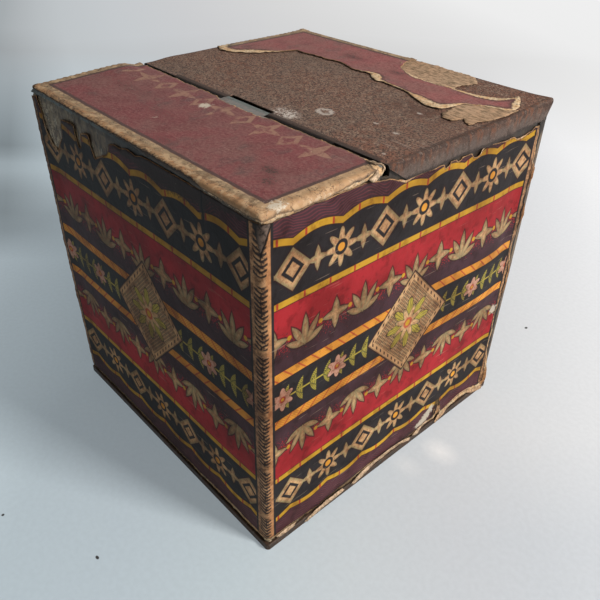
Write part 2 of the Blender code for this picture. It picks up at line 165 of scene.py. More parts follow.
class Paint:
    """A material made of layers of colour, with its roughness and relief in mm."""

    def __init__(self, name, base, roughness=0.6, metallic=0, specular=0.4):
        self.material = bpy.data.materials.new(name)
        self.material.use_nodes = True
        self.tree = self.material.node_tree
        self.nodes = self.tree.nodes
        self.shader = self.nodes["Principled BSDF"]
        self.shader.inputs["Specular IOR Level"].default_value = specular
        self.place = self.result(self.nodes.new("ShaderNodeTexCoord"), "Object")
        self.base = base
        self.roughness = roughness
        self.metallic = metallic
        self.relief = None

    def add(self, kind, **inputs):
        """A new node with some of its inputs linked or set."""
        node = self.nodes.new(kind)
        connect(self.tree, [node.inputs[name] for name in inputs], inputs.values())
        return node

    def result(self, node, output=0):
        return Sum(self.tree, node.outputs[output])

    def split(self, place):
        """The three numbers of a place."""
        node = self.add("ShaderNodeSeparateXYZ", Vector=place)
        return [self.result(node, axis) for axis in range(3)]

    def xyz(self):
        """Place on the object in mm."""
        return [number * 1000 for number in self.split(self.place)]

    def facing(self):
        """Direction that the surface faces, in the object's own axes."""
        return self.split(self.result(self.nodes.new("ShaderNodeTexCoord"), "Normal"))

    def print_place(self):
        """Place on the flat sheet in mm: along it and down it."""
        layer = self.nodes.new("ShaderNodeUVMap")
        layer.uv_map = "sheet"
        return [number * 1000 for number in self.split(self.result(layer))[:2]]

    def length(self, across, up):
        """Distance from the place where both numbers are 0."""
        joined = self.result(self.add("ShaderNodeCombineXYZ", X=across, Y=up))
        node = self.add("ShaderNodeVectorMath", Vector=joined)
        node.operation = "LENGTH"
        return self.result(node, "Value")

    def turned(self, across, up, degrees):
        """The same place in axes turned by an angle."""
        joined = self.result(self.add("ShaderNodeCombineXYZ", X=across, Y=up))
        node = self.add("ShaderNodeVectorRotate", Vector=joined, Angle=math.radians(degrees))
        node.rotation_type = "Z_AXIS"
        return self.split(self.result(node))[:2]

    def spot(self, x, y, at_x, at_y, wide, tall):
        """0 in the middle of an oval place in mm, and 1 on its rim."""
        return self.length((x - at_x) * (1 / wide), (y - at_y) * (1 / tall))

    def ramp(self, value, stops):
        """Colour that changes at stops, given in the value's own unit."""
        low = stops[0][0]
        reach = stops[-1][0] - low
        node = self.nodes.new("ShaderNodeValToRGB")
        points = node.color_ramp.elements
        while len(points) < len(stops):
            points.new(1)
        for point, (place, colour) in zip(points, stops):
            point.position = (place - low) / reach
            point.color = srgb(colour)
        connect(self.tree, node.inputs, [(value - low) * (1 / reach)])
        return self.result(node)

    def vertex(self, name):
        attribute = self.nodes.new("ShaderNodeAttribute")
        attribute.attribute_name = name
        return self.result(attribute, "Fac")

    def noise(self, size, rough=0.7, detail=4, stretch=(1, 1, 1), shift=(0, 0, 0), turn=(0, 0, 0)):
        """Cloudy numbers from about 0.3 to 0.7, with features of a size in mm."""
        place = self.place
        if (stretch, shift, turn) != ((1, 1, 1), (0, 0, 0), (0, 0, 0)):
            moved = self.add("ShaderNodeMapping", Vector=place, Location=shift, Rotation=turn, Scale=stretch)
            place = self.result(moved)
        scale = 1 / (size * MM)
        node = self.add("ShaderNodeTexNoise", Vector=place, Scale=scale, Detail=detail, Roughness=rough)
        return self.result(node, "Fac")

    def blend(self, first, second, share, kind="MIX"):
        node = self.nodes.new("ShaderNodeMix")
        node.data_type = "RGBA"
        node.blend_type = kind
        colours = [colour if isinstance(colour, Sum) else srgb(colour) for colour in (first, second)]
        connect(self.tree, (node.inputs[0], node.inputs[6], node.inputs[7]), (share, *colours))
        return self.result(node, 2)

    def coat(self, colour, share):
        """Lays a colour over what is there, as thick as its share."""
        self.base = self.blend(self.base, colour, share)

    def shade(self, colour, share):
        """Darkens or tints what is there."""
        self.base = self.blend(self.base, colour, share, "MULTIPLY")

    def finish(self, strength=1):
        slots = [self.shader.inputs[name] for name in ("Base Color", "Roughness", "Metallic")]
        connect(self.tree, slots, (self.base, self.roughness, self.metallic))
        if self.relief:
            bump = self.add("ShaderNodeBump", Height=self.relief, Distance=MM, Strength=strength)
            connect(self.tree, [self.shader.inputs["Normal"]], [self.result(bump)])
        return self.material


# Floor, from left to right in mm: round the tin, and far behind it; the tone is painted light, paler on the
# lamp's side to the right
FLOOR_NEAR = (
    (-260, (206, 221, 229)), (-200, (197, 212, 220)), (-150, (186, 200, 208)), (-90, (187, 200, 208)),
    (-20, (192, 204, 210)), (40, (198, 206, 211)), (100, (205, 209, 213)), (150, (212, 215, 218)),
    (245, (225, 227, 230)), (285, (232, 234, 237)), (345, (246, 247, 249)), (450, (250, 250, 250)),
    (600, (248, 248, 248)),
)
FLOOR_FAR = (
    (-240, (165, 171, 174)), (-200, (176, 181, 184)), (-160, (184, 189, 192)), (-117, (190, 195, 198)),
    (0, (197, 201, 204)), (160, (204, 205, 207)), (419, (216, 216, 216)), (650, (226, 226, 226)),
    (850, (237, 237, 237)), (1144, (239, 239, 239)),
)

# Folds of the backdrop on the left: distance behind the tin in mm, and how much light is left
FLOOR_FOLDS = (
    (150, 1), (204, 0.61), (240, 0.47), (285, 0.46), (315, 0.53), (340, 0.61), (362, 0.6), (385, 0.48),
    (414, 0.38), (464, 0.45), (538, 0.56), (671, 0.74), (780, 0.85), (1000, 1),
)

# Light thrown on the floor by the tin, with its strength, and crumbs: place and radii in mm
FLOOR_GLINTS = ((117, 27, 13, 10, 0.5), (110, 2, 12, 8, 0.2))
FLOOR_CRUMBS = ((41, -172, 1.3, 0.8), (82, 182, 1, 1.4), (-19, -199, 0.8, 0.8))

# Colours of the prints, paper and metal
BLACK_INK = (41, 37, 38)
PURPLE_INK = (70, 46, 52)
RED_INK = (170, 40, 46)
YELLOW_INK = (200, 156, 44)
ORANGE_INK = (226, 160, 58)
TICK_INK = (176, 60, 42)
CREAM_INK = (208, 168, 120)
BROWNED_INK = (150, 104, 72)
OLIVE_CREAM_INK = (150, 138, 100)
LEAF_INK = (178, 162, 66)
LEAF_SHADE_INK = (58, 66, 44)
PINK_INK = (206, 160, 138)
SHADOW_INK = (52, 26, 26)
MAROON_INK = (128, 66, 66)
TORN_PAPER = (206, 182, 148)
TAN_PAPER = (196, 154, 108)
BROWN_PAPER = (112, 84, 62)
DIRT = (50, 40, 34)


# Side print: every band above the middle line has its mirror image below it

PRINT_MIDDLE = 99.9
BAND_STOPS = (
    (0, BLACK_INK), (14.9, BLACK_INK), (15.2, RED_INK), (54.2, RED_INK), (54.5, BLACK_INK),
    (83.9, BLACK_INK), (84.2, PURPLE_INK), (110, PURPLE_INK),
)

# Rows of ornament: height from the middle line in mm, and how far along it they come back
LARGE_ROW, LARGE_REPEAT = 69.4, 56
SMALL_ROW, SMALL_REPEAT = 34.6, 38
LEAF_REPEAT, BLOSSOM_REPEAT = 9, 36

# Rules beside the bands by height, and how far along their marks come back
YELLOW_RULES, TICK_REPEAT = (54.4, 84), 15.4
ORANGE_RULE, TOOTH_REPEAT, HATCH_REPEAT = 14.6, 8.6, 1.6

# Row of ornament on the top paper: place along the tin, and how far across it comes back
TOP_ROW, TOP_REPEAT = -44.6, 34


def lens(across, up, length, width):
    """Under 0 inside a pointed leaf that stands on its tip."""
    share = up * (1 / length)
    return abs(across) + (share * share).scaled(width, -width)


def turned_lens(paint, across, up, degrees, length, width, lift):
    """The same leaf, turned about the place where both numbers are 0 and lifted off it."""
    leaf_across, leaf_up = paint.turned(across, up, degrees)
    leaf_up = leaf_up - lift
    return lens(leaf_across, leaf_up, length, width), leaf_across, leaf_up


def ornament(paint, shape):
    """Prints a shape in cream, greener towards its rim and browned in places, with a dark outline."""
    paint.coat(SHADOW_INK, shape.under(0.75, 0.4) * 0.8)
    ink = paint.blend(CREAM_INK, OLIVE_CREAM_INK, shape.over(-1.3, 1.8))
    ink = paint.blend(ink, BROWNED_INK, paint.mottle)
    paint.coat(ink, shape.under(0, 0.35))


def leaf_cross(x, y, length, width):
    """Under 0 inside four pointed leaves that meet."""
    return lens(x, y, length, width).least(lens(y, x, length, width))


def flower(paint, across, up, petals, depth, size):
    """Under 0 inside a flower round the place where both numbers are 0."""
    ripple = (across.math("ARCTAN2", up) * petals).math("COSINE")
    return paint.length(across, up) - ripple.scaled(depth, size)


def print_large_ornaments(paint, across, height):
    """Flowers and lozenges by turns in the black bands, with small crosses of leaves between."""
    up = height - LARGE_ROW
    place = across.wrap(LARGE_REPEAT)
    radius = paint.length(place, up)
    diamond = (abs((across + LARGE_REPEAT / 2).wrap(LARGE_REPEAT)) + abs(up)) * 0.72 - 7.6
    cross = leaf_cross((across + LARGE_REPEAT / 4).wrap(LARGE_REPEAT / 2), up, 6.4, 1.9)
    ornament(paint, flower(paint, place, up, 8, 2.4, 7.6).least(diamond).least(cross))
    hollow = radius.under(3.9, 0.4).most(diamond.between(-4.8, -3, 0.4))
    paint.coat(BLACK_INK, hollow)
    paint.coat(ORANGE_INK, radius.under(2.1, 0.4))


def print_small_ornaments(paint, across, height):
    """Fans of leaves and crosses of leaves by turns in the red bands."""
    up = height - SMALL_ROW
    fan_across = abs(across.wrap(SMALL_REPEAT))
    foot = up + 8.6
    shape = lens(fan_across, up + 0.2, 8.8, 1.9)
    for degrees, length in ((31, 7.6), (64, 6)):
        leaf = turned_lens(paint, fan_across, foot, degrees, length, 1.8, length + 0.6)[0]
        shape = shape.least(leaf)
    cross = leaf_cross((across + SMALL_REPEAT / 2).wrap(SMALL_REPEAT), up, 9, 2.5)
    ornament(paint, shape.least(cross))
    dots = paint.length((across + SMALL_REPEAT / 4).wrap(SMALL_REPEAT / 2), up) - 1.3
    paint.coat(YELLOW_INK, dots.under(0, 0.4))


def print_garland(paint, across, height):
    """Pairs of leaves on a straight stem, with blossoms between, in the middle band."""
    paint.coat(LEAF_INK, height.under(0.5, 0.4))
    cell = across.wrap(LEAF_REPEAT)
    leaf, leaf_across, leaf_up = turned_lens(paint, cell, height, 50, 7.2, 2.9, 7.2)
    vein = abs((abs(leaf_across) + leaf_up).wrap(1.5)).under(0.32, 0.3)
    vein = vein.most(abs(leaf_across).under(0.28, 0.3))
    paint.coat(paint.blend(LEAF_INK, LEAF_SHADE_INK, vein * 0.85), leaf.under(0, 0.35))
    blossom_across = (across + 17.4).wrap(BLOSSOM_REPEAT)
    radius = paint.length(blossom_across, height)
    blossom = flower(paint, blossom_across, height, 6, 1.5, 5.6)
    paint.coat(SHADOW_INK, blossom.under(0.7, 0.4) * 0.8)
    paint.coat(paint.blend(PINK_INK, BROWNED_INK, paint.mottle), blossom.under(0, 0.35))
    paint.coat(TICK_INK, radius.under(1.9, 0.5))
    paint.coat(YELLOW_INK, radius.under(1, 0.4))


def print_rules(paint, across, height):
    """Yellow rules with red ticks, and wide orange rules hatched in red."""
    distance = abs(height - YELLOW_RULES[0]).least(abs(height - YELLOW_RULES[1]))
    paint.coat(SHADOW_INK, distance.under(2.15, 0.5) * 0.8)
    inside = distance.under(1.6, 0.35)
    paint.coat(YELLOW_INK, inside)
    paint.coat(TICK_INK, abs(across.wrap(TICK_REPEAT)).under(0.6, 0.5) * inside)
    lean = height - ORANGE_RULE
    band = abs(lean)
    paint.coat(SHADOW_INK, band.under(3.05, 0.4) * 0.8)
    inside = band.under(2.6, 0.35)
    paint.coat(ORANGE_INK, inside)
    teeth = abs((across + lean).wrap(TOOTH_REPEAT)).under(0.6, 0.5)
    hatch = abs((across - lean).wrap(HATCH_REPEAT)).under(0.25, 0.3) * 0.5
    paint.coat(TICK_INK, teeth.most(hatch) * inside * 0.85)


def print_panels(paint, across, height):
    """A lozenge panel in the middle of each wall."""
    side = abs(across)
    panel = side.scaled(0.71, -22) + height * 0.667
    paint.coat(SHADOW_INK, panel.under(0.8, 0.5))
    lattice = abs((side + height).wrap(2.4)).least(abs((side - height).wrap(2.4))).under(0.38, 0.35)
    ground = paint.blend((98, 88, 66), CREAM_INK, lattice * 0.7)
    paint.coat(paint.blend(ground, BROWNED_INK, paint.mottle), panel.under(0, 0.35))
    pearls = abs(side.wrap(3.4)).under(0.55, 0.5) * panel.between(-2.5, -1.1, 0.4)
    paint.coat(paint.blend(CREAM_INK, SHADOW_INK, pearls), panel.between(-3.2, -0.5, 0.4))
    radius = paint.length(side, height)
    leaves = flower(paint, side, height, 8, 5, 11.6)
    rib = abs((side.math("ARCTAN2", height) * 24).sine()).under(0.35, 0.4)
    paint.coat(SHADOW_INK, leaves.under(0.8, 0.5))
    paint.coat(paint.blend(LEAF_INK, LEAF_SHADE_INK, rib * 0.8), leaves.under(0, 0.4))
    ornament(paint, flower(paint, side, height, 8, -3, 8.2))
    paint.coat(TICK_INK, radius.under(3.4, 0.4) * 0.8)
    paint.coat(YELLOW_INK, radius.under(1.9, 0.4))


def print_strip(paint, along, down):
    """Tan margins at the sheet's ends and round the corner, where a black rope twists up the middle."""
    past_end = abs(along - sum(PRINT_ENDS) / 2) - (PRINT_ENDS[1] - PRINT_ENDS[0]) / 2
    paint.coat(BLACK_INK, along.between(-8.2, 5.2, 0.3).most(past_end.over(-0.6, 0.3)))
    grain = paint.noise(2.6)
    ground = paint.blend((188, 146, 106), (112, 80, 58), grain.over(0.5, 0.16) * 0.9)
    ground = paint.blend(ground, (196, 138, 90), along.between(1.2, 4.2, 0.8) * 0.6)
    paint.coat(ground, along.between(-6.8, 3.7, 0.4).most(past_end.over(0.5, 0.4)))
    plies = along + (down * 0.5).sine() * 0.3
    twist = (down - plies * 0.35 + grain * 2.2).wrap(2.5)
    counter = (down + plies * 0.5 + grain * 1.2 + 1).wrap(2.5)
    rope = abs(twist).under(0.62, 0.4) * plies.between(-4.9, 0.4, 0.6)
    rope = rope.most(abs(counter).under(0.6, 0.4) * plies.between(-1, 2, 0.5))
    rope = rope.most(abs(plies + 0.4 + grain).under(0.4, 0.4) * grain.over(0.46, 0.1))
    paint.coat(BLACK_INK, rope * abs((down + 6).wrap(37)).over(2, 1) * 0.95)

    # A grey chip where the top paper's corner came away
    chip = abs(along + 0.6) + down * 0.36 + grain * 2
    paint.coat((22, 18, 16), chip.under(8.2, 0.6) * along.over(-1, 0.6))
    bark = paint.blend((44, 38, 34), (112, 96, 86), along.over(-1.8, 1.6) * grain.over(0.42, 0.2))
    paint.coat(bark, chip.under(7.2, 0.5))


def side_print_paint():
    """Lithographed bands with generic ornament, on paper that has aged and torn."""
    paint = Paint("side_print", PURPLE_INK, roughness=0.6, specular=0.12)
    along, down = paint.print_place()
    across = along - along.over(0, 0.1) * (FACE_MIDDLES[1] - FACE_MIDDLES[0]) - FACE_MIDDLES[0]
    level = abs(down - PRINT_MIDDLE)
    swag = abs((across * (math.pi * 2 / LARGE_REPEAT)).sine()).scaled(3, -1.5)
    height = level - swag * level.over(72, 8)
    paint.mottle = paint.noise(2.4, 0.65, shift=(0.2, 0.1, 0.3)).over(0.53, 0.1) * 0.65

    paint.base = paint.ramp(height, BAND_STOPS)
    speckle = paint.noise(0.9, detail=3)
    dusk = height.under(30, 20) * height.between(15, 54)
    paint.coat(PURPLE_INK, dusk.scaled(0.42, speckle).over(0.66, 0.06) * dusk.over(0.02, 0.02))
    waves = height + (across * 0.16).sine() * 2.2 + (across * 0.41 + height * 0.3).sine() * 0.9
    paint.coat((112, 58, 62), abs(waves.wrap(1.45)).under(0.27, 0.3) * height.over(85, 1) * 0.75)

    print_large_ornaments(paint, across, level)
    print_small_ornaments(paint, across, level)
    print_garland(paint, across, level)
    print_rules(paint, across, height)
    print_panels(paint, across, level)
    print_strip(paint, along, down)
    wear_side_print(paint)
    # Painted shade: the print darker and browner on the -Y wall, the +Y wall on the far paper
    paint.shade((238, 230, 222), along.under(-3, 2))
    # Painted shade: the print darker towards the top of the walls, outside the corner strip
    on_print = abs(along + 1.5).over(6, 2)
    paint.shade((230, 226, 228), down.under(120, 150) * on_print)
    # Painted shade: the upper part of the -Y wall darker still
    paint.shade((228, 228, 230), along.under(-8, 2) * down.under(80, 80))
    paint.shade((196, 178, 166), along.over(right_wall(93.4), 0.5))
    bent = along + (down * 0.7).sine() * 0.25
    for crack in SIDE_CRACKS:
        paint.coat((12, 10, 10), paint.spot(bent, down, *crack).under(1, 0.5))
    return paint.finish(0.6)


def fray(paint, tear, fibre, middle):
    """Dirt along a torn edge, then the paper's core: pale where the tear is fresh, brown elsewhere."""
    fresh = paint.vertex("fresh")
    edge = tear + fibre.scaled(1.1, -0.55)
    paint.coat(DIRT, edge.under(1.7, 0.9) * 0.7)
    core = paint.blend(BROWN_PAPER, TORN_PAPER, fresh)
    core = paint.blend(core, TAN_PAPER, middle.over(0.5, 0.15) * 0.8)
    core = paint.blend(core, BROWN_PAPER, fibre.over(0.56, 0.1) * 0.75)
    paint.coat(core, edge.under(1, 0.25))
    return edge


def scuff(paint, fibre):
    """Places rubbed down to pale fibre, and places gone dark."""
    rough = fibre.scaled(1.6, -0.8)
    paint.coat((48, 40, 35), (paint.vertex("stain") + rough).over(0.45, 0.3) * 0.85)
    paint.coat((196, 186, 168), (paint.vertex("scrape") + rough).over(0.5, 0.2) * 0.85)


def wear_side_print(paint):
    """Age of the side print: rubbed flecks, dirt, stains, chips, and torn edges to bare fibre."""
    fibre = paint.noise(1.4)
    cloud = paint.noise(26, 0.6, 3)
    middle = paint.noise(7, 0.6)
    paint.coat((150, 138, 124), fibre.over(0.7, 0.04) * cloud.over(0.45, 0.2) * 0.5)
    paint.shade((178, 160, 148), cloud.over(0.52, 0.25) * 0.8)
    paint.shade((150, 120, 100), middle.over(0.58, 0.1) * 0.45)
    scratches = paint.noise(1, 0.5, 2, stretch=(0.05, 0.05, 1), turn=(0.5, 0.4, 0))
    paint.coat((170, 150, 130), scratches.over(0.7, 0.03) * 0.3)
    scuff(paint, fibre)
    edge = fray(paint, paint.vertex("tear"), fibre, middle)
    paint.roughness = edge.under(1, 0.3).scaled(0.3, 0.55)
    paint.relief = fibre * 0.05 + middle * 0.5


def fibre_paint():
    """Back of the paper and its torn core: pale where the tear is fresh, tan or brown elsewhere."""
    paint = Paint("torn_fibre", (104, 80, 60), roughness=0.9, specular=0.2)
    fresh = paint.vertex("fresh")
    paint.coat((186, 136, 92), fresh.over(0.1, 0.4))
    paint.coat((214, 184, 154), fresh.over(0.5, 0.5))
    paint.coat((172, 146, 118), paint.noise(5, 0.65).over(0.48, 0.18) * 0.6)
    strands = paint.noise(1.6, 0.75, stretch=(0.35, 1, 1))
    paint.coat((104, 88, 66), strands.over(0.52, 0.16) * 0.75)
    paint.shade((226, 226, 228), paint.xyz()[2].over(TOP / MM - 1.5, 1))
    paint.relief = strands * 0.2 + paint.noise(0.8) * 0.15
    return paint.finish()


def print_top_ornaments(paint, x, y):
    """A worn row of leaf crosses and lozenges by the hinge."""
    up = y - TOP_ROW
    cross = leaf_cross(x.wrap(TOP_REPEAT), up, 10.5, 2.6)
    lozenge = abs((x + TOP_REPEAT / 2).wrap(TOP_REPEAT)) * 0.9 + abs(up) * 0.6 - 5
    lozenge = lozenge.most(-(lozenge + 2.6))
    row = cross.least(lozenge).under(0, 0.5) * x.between(-86, 80)
    left = paint.noise(7, shift=(0.6, 0.1, 0.2)).over(0.46, 0.12)
    paint.coat((172, 138, 112), row * left * 0.6)


def top_print_paint(name, ground, border_low, border_high, shift):
    """Maroon print with a thin dark line inside a buff border, dusty and rubbed."""
    paint = Paint(name, ground, roughness=0.6, specular=0.3)
    x, y, z = paint.xyz()
    cloud = paint.noise(22, 0.6, shift=shift)
    paint.coat((126, 90, 84), cloud.over(0.5, 0.2) * 0.7)
    paint.coat((108, 48, 50), paint.noise(13, 0.65, shift=(0.3, 0.1, 0)).over(0.57, 0.12) * 0.5)
    smudge = paint.noise(17, stretch=(1, 0.7, 1), shift=(0.7, 0.2, 0.1), turn=(0, 0, 0.7))
    paint.coat((84, 74, 70), smudge.over(0.6, 0.1) * 0.5)
    fibre = paint.noise(1.5, shift=shift)
    paint.coat((150, 112, 104), fibre.over(0.54, 0.12) * 0.4)
    paint.coat((92, 52, 52), fibre.under(0.43, 0.1) * 0.4)
    print_top_ornaments(paint, x, y)
    paint.shade((235, 234, 236), y.under(-20, 10))

    # Distance in from the printed line, under 0 in the border
    inner = (x - border_low[0]).least(-x + border_high[0]).least(y - border_low[1]).least(-y + border_high[1])
    middle = paint.noise(3.5, shift=shift)
    inner = inner + (paint.noise(8, 0.5, 2, shift=shift) - 0.5) * 1.2
    pale = paint.noise(5, 0.6, shift=(0.8, 0.3, 0.2)).over(0.55, 0.07)
    rust = paint.noise(2.4, 0.6, 3, shift=(0.1, 0.5, 0.2)).over(0.62, 0.06)
    crack = abs(paint.noise(6, 0.6, 3, shift=(0.3, 0.3, 0.3)) - 0.5).under(0.009, 0.007)
    buff = (142, 120, 93)
    for colour, share in (
        ((160, 124, 89), inner.under(-4.4, 2.6)),
        ((112, 94, 72), paint.noise(7, 0.6).over(0.54, 0.16) * 0.5),
        ((94, 62, 40), middle.over(0.58, 0.09) * 0.5),
        ((188, 160, 126), pale * 0.6),
        ((176, 100, 54), rust * 0.3),
        # Painted highlight: paler buff where the border turns down over the +X edge, towards the lamp
        ((192, 154, 114), x.over(91, 2) * 0.35),
        (DIRT, crack * 0.6),
    ):
        buff = paint.blend(buff, colour, share)
    paint.coat((70, 55, 50), abs(inner - 0.4).under(1.2, 0.9) * 0.85)
    paint.coat(buff, inner.under(-0.5, 0.5))

    # Rubs through to the paper
    rub = paint.noise(2.6, shift=shift).over(0.72, 0.04)
    paint.coat(TORN_PAPER, rub * 0.5)
    scratches = paint.noise(1.2, 0.5, 2, stretch=(0.06, 1, 1), shift=shift, turn=(0, 0, 0.75))
    paint.coat((150, 120, 110), scratches.over(0.69, 0.04) * 0.3)
    scuff(paint, fibre)
    fray(paint, paint.vertex("tear"), fibre, middle)

    # Grime below a ragged crack where the -Y border turns down, with a thin black line along the crack:
    # painted shadow, as under a lifted paper edge
    ragged = y + z - TOP / MM + (paint.noise(5, 0.8, 5, shift=(0.5, 0.5, 0.1)) - 0.5) * 5
    ragged = ragged + x.over(60, 12) * 2.4
    paint.coat((54, 43, 35), ragged.under(-101.4, 0.5) * y.under(-90, 2) * 0.95)
    paint.coat((20, 14, 11), ragged.between(-101.9, -101.2, 0.4) * x.under(60, 8) * 0.8)
    paint.roughness = cloud * 0.35 + 0.45
    paint.relief = fibre * 0.1 + crack * -0.5 + paint.noise(6, 0.6, shift=shift) * 0.15
    return paint.finish(0.6)


def lid_rust_paint():
    """Brown rust, finely pitted, redder on the right, dark at the hinge and grey on the turned-down skirt."""
    paint = Paint("lid_rust", (110, 84, 71), roughness=0.75, specular=0.3)
    x, y, z = paint.xyz()
    fine = paint.noise(1.3, 0.8)
    middle = paint.noise(6, 0.65)
    broad = paint.noise(38, 0.6, 3)
    grains = paint.noise(1.1, 0.8, 3, shift=(0.4, 0.2, 0))
    reds = paint.noise(1.2, 0.8, 3, shift=(0.1, 0.7, 0.3))
    paint.coat((164, 140, 120), fine.over(0.53, 0.07) * 0.9)
    paint.coat((128, 76, 54), reds.over(0.55, 0.06) * 0.55)
    paint.coat((124, 80, 60), middle.over(0.54, 0.12) * 0.25)
    paint.coat((120, 74, 54), (x.over(52, 60) * 0.14 + middle).over(0.6, 0.1) * 0.5)
    paint.coat((112, 100, 88), broad.over(0.52, 0.14) * 0.35)
    paint.coat((46, 32, 27), grains.under(0.47, 0.05) * 0.9)
    paint.shade((245, 245, 246), 1)

    # Skirt: brown below a dark crease, greyer and streaked towards its dark foot
    side = abs(x).over(96.6, 0.8).most(y.over(98.8, 0.8))
    smears = paint.noise(3.4, 0.75, stretch=(1, 1, 0.5), shift=(0.2, 0.6, 0.4))
    paint.coat((78, 58, 49), side * (middle + fine * 0.5).over(0.68, 0.16) * 0.8)
    paint.coat((94, 85, 80), side * (smears * 9 - z).over(-196.2, 2.4) * 0.65)
    paint.coat((58, 45, 39), smears.under(0.44, 0.08) * side * 0.75)
    crease = (z + (middle - 0.5) * 3).between(203.4, 204.9, 0.5)
    crease = crease * abs(x).over(95.2, 0.5).most(y.over(97.2, 0.5))
    paint.coat((56, 40, 33), crease * fine.over(0.42, 0.2) * 0.75)
    paint.coat((134, 122, 113), side * reds.over(0.61, 0.05) * 0.5)
    runs = paint.noise(4, stretch=(1, 1, 0.3), shift=(0.6, 0.1, 0.2))
    paint.coat((118, 74, 50), side * runs.over(0.54, 0.08) * z.over(199, 5) * 0.6)
    paint.coat((56, 44, 38), paint.noise(3.2).over(0.6, 0.08) * 0.3)
    paint.coat((44, 35, 31), (z + fine * 5).under(198.2, 1) * side * 0.85)
    paint.shade((236, 232, 228), side)
    worn = paint.spot(x, y, 62, 33, 24, 9).under(0.8, 0.9)
    paint.coat((72, 50, 40), worn * middle.over(0.45, 0.1) * 0.6)

    # White specks, a ring where something stood, and fine scratches at the near corner
    rough = (middle + fine - 1) * 1.6
    ring = paint.spot(x, y, 33, -5, 4.8, 4.2) + rough
    pale = ring.between(0.5, 1.05, 0.25) * (middle + fine).over(0.86, 0.25)
    splatter = paint.spot(x, y, 22, -22, 9, 6).under(1, 0.5)
    pale = pale.most(splatter * (fine + middle * 0.6).over(0.82, 0.05) * 1.2)
    for speck in ((66, 30, 2.6, 1), (61, 3, 2.2, 1), (76, 0, 1.8, 1.2), (89, -22, 1.1, 1.1)):
        pale = pale.most((paint.spot(x, y, *speck) + rough * 2).under(0.8, 0.4) * 0.8)
    streaks = paint.noise(1, 0.5, 2, stretch=(0.08, 1, 0.3), turn=(0, 0, 0.6)).over(0.66, 0.03)
    pale = pale.most(streaks * x.over(72, 30) * y.under(2, 30) * 0.4)
    paint.coat((188, 178, 168), pale * paint.facing()[2].over(0.3, 0.2) * 0.8)

    # Rolled hinge barrels, nearly black, and a painted shadow, darker still, along the lid's edge by the
    # hinge
    barrel = y.under(-26.6, 1.2) * (x - 13.5).between(-79, 79, 0.6)
    paint.coat((58, 46, 40), barrel * 0.9)
    paint.coat((22, 18, 16), y.under(-29.4, 0.8) * 0.9)
    paint.roughness = fine * 0.4 + 0.5
    paint.relief = fine * 0.3 + grains * 0.2 + middle * 0.4
    return paint.finish()


def front_left(x, y):
    """The left of the -Y wall, where its metal is paler."""
    return x.under(-22, 50) * y.under(-94, 1)


def wall_wear_and_shade(paint, fine):
    """Pale rubbed corners, soot and scratches on the walls; painted shade in the grooves by the seams, under
    the lid and under the top's edge on the -Y wall.
    """
    x, y, z = paint.xyz()
    smears = paint.noise(4, stretch=(1, 1, 0.4), shift=(0.5, 0.1, 0.6))
    paint.coat((152, 130, 98), smears.over(0.57, 0.06) * 0.6)
    paint.coat((40, 34, 28), smears.under(0.46, 0.08) * 0.8)
    face = y.under(-96, 1)
    flaked = paint.noise(2.6, 0.8, shift=(0.9, 0.2, 0.3)).over(0.55, 0.03) * x.under(-74, 8)
    paint.coat((168, 152, 126), flaked * face * 0.8)
    soot = paint.noise(9, shift=(0.1, 0.4, 0.8))
    paint.coat((32, 26, 22), (x * 0.004 + soot).over(0.47, 0.1) * face * 0.85)
    scratches = paint.noise(1.2, 0.6, 3, stretch=(1, 1, 0.15), shift=(0.3, 0.7, 0.2), turn=(0, 0.25, 0))
    paint.coat((176, 166, 146), scratches.over(0.62, 0.03) * 0.6)
    corner = abs(x).least(abs(y) - 1.6).over(95.2, 1.2)
    far = x.over(0, 1) * y.over(0, 1)
    paint.coat((196, 178, 150), corner * fine.over(0.42, 0.2) * (-far + 1))
    paint.coat((98, 86, 75), corner * far * 0.8)
    # Painted shade: near black in the grooves beside the upright seams
    groove_shade = y.between(90, 96.4, 0.6) * x.over(90, 1)
    paint.coat((26, 22, 20), groove_shade.most(y.between(-96.4, -90, 0.6) * x.under(-90, 1)))
    # Painted shade: the walls darker under the lid and its skirt
    paint.coat((38, 32, 28), z.over(188, 3) * y.over(-34, 2) * 0.9)
    front = y.under(-94, 1)
    paint.coat((66, 50, 38), z.over(193, 4) * front * (x * 0.003 + soot).over(0.34, 0.1) * 0.85)
    left = front_left(x, y)
    paint.coat((112, 98, 76), left * z.over(186, 14) * smears.over(0.47, 0.1) * 0.55)
    # Painted shadow: a near black band at the top of the -Y wall, under the top's turned-down edge, fainter
    # on the left
    paint.coat((20, 17, 15), (z + fine * 3).over(200.6, 1) * front * (left * -0.65 + 0.9))

    # Inside, the tin has kept its grey, with rust in spots and up from the bottom
    face_x, face_y, _ = paint.facing()
    inside = (face_x * x + face_y * y).under(0, 2)
    lining = paint.blend((132, 126, 114), (96, 74, 56), soot.over(0.5, 0.12) * 0.8)
    lining = paint.blend(lining, (82, 54, 38), (fine + z.under(60, 90) * 0.12).over(0.58, 0.06) * 0.8)
    paint.coat(lining, inside)


def panel_wear_and_highlight(paint, fine):
    """Dark turned-down edges, a knuckle that is greener on the lid's side, and a painted highlight beside the
    hinge.
    """
    x, y, z = paint.xyz()
    edge = (z + fine).under(204.9, 0.6) * y.under(-34, 1)
    paint.coat((34, 28, 24), edge * (front_left(x, y) * -0.6 + 0.95))
    paint.coat((70, 82, 78), y.over(-27.6, 2.4) * 0.75)
    # Painted highlight: a pale streaky band on the top beside the hinge, as light on a rolled edge
    paint.coat((150, 138, 132), y.under(-30.6, 1.4) * fine.over(0.45, 0.2) * z.over(204, 0.6) * 0.6)


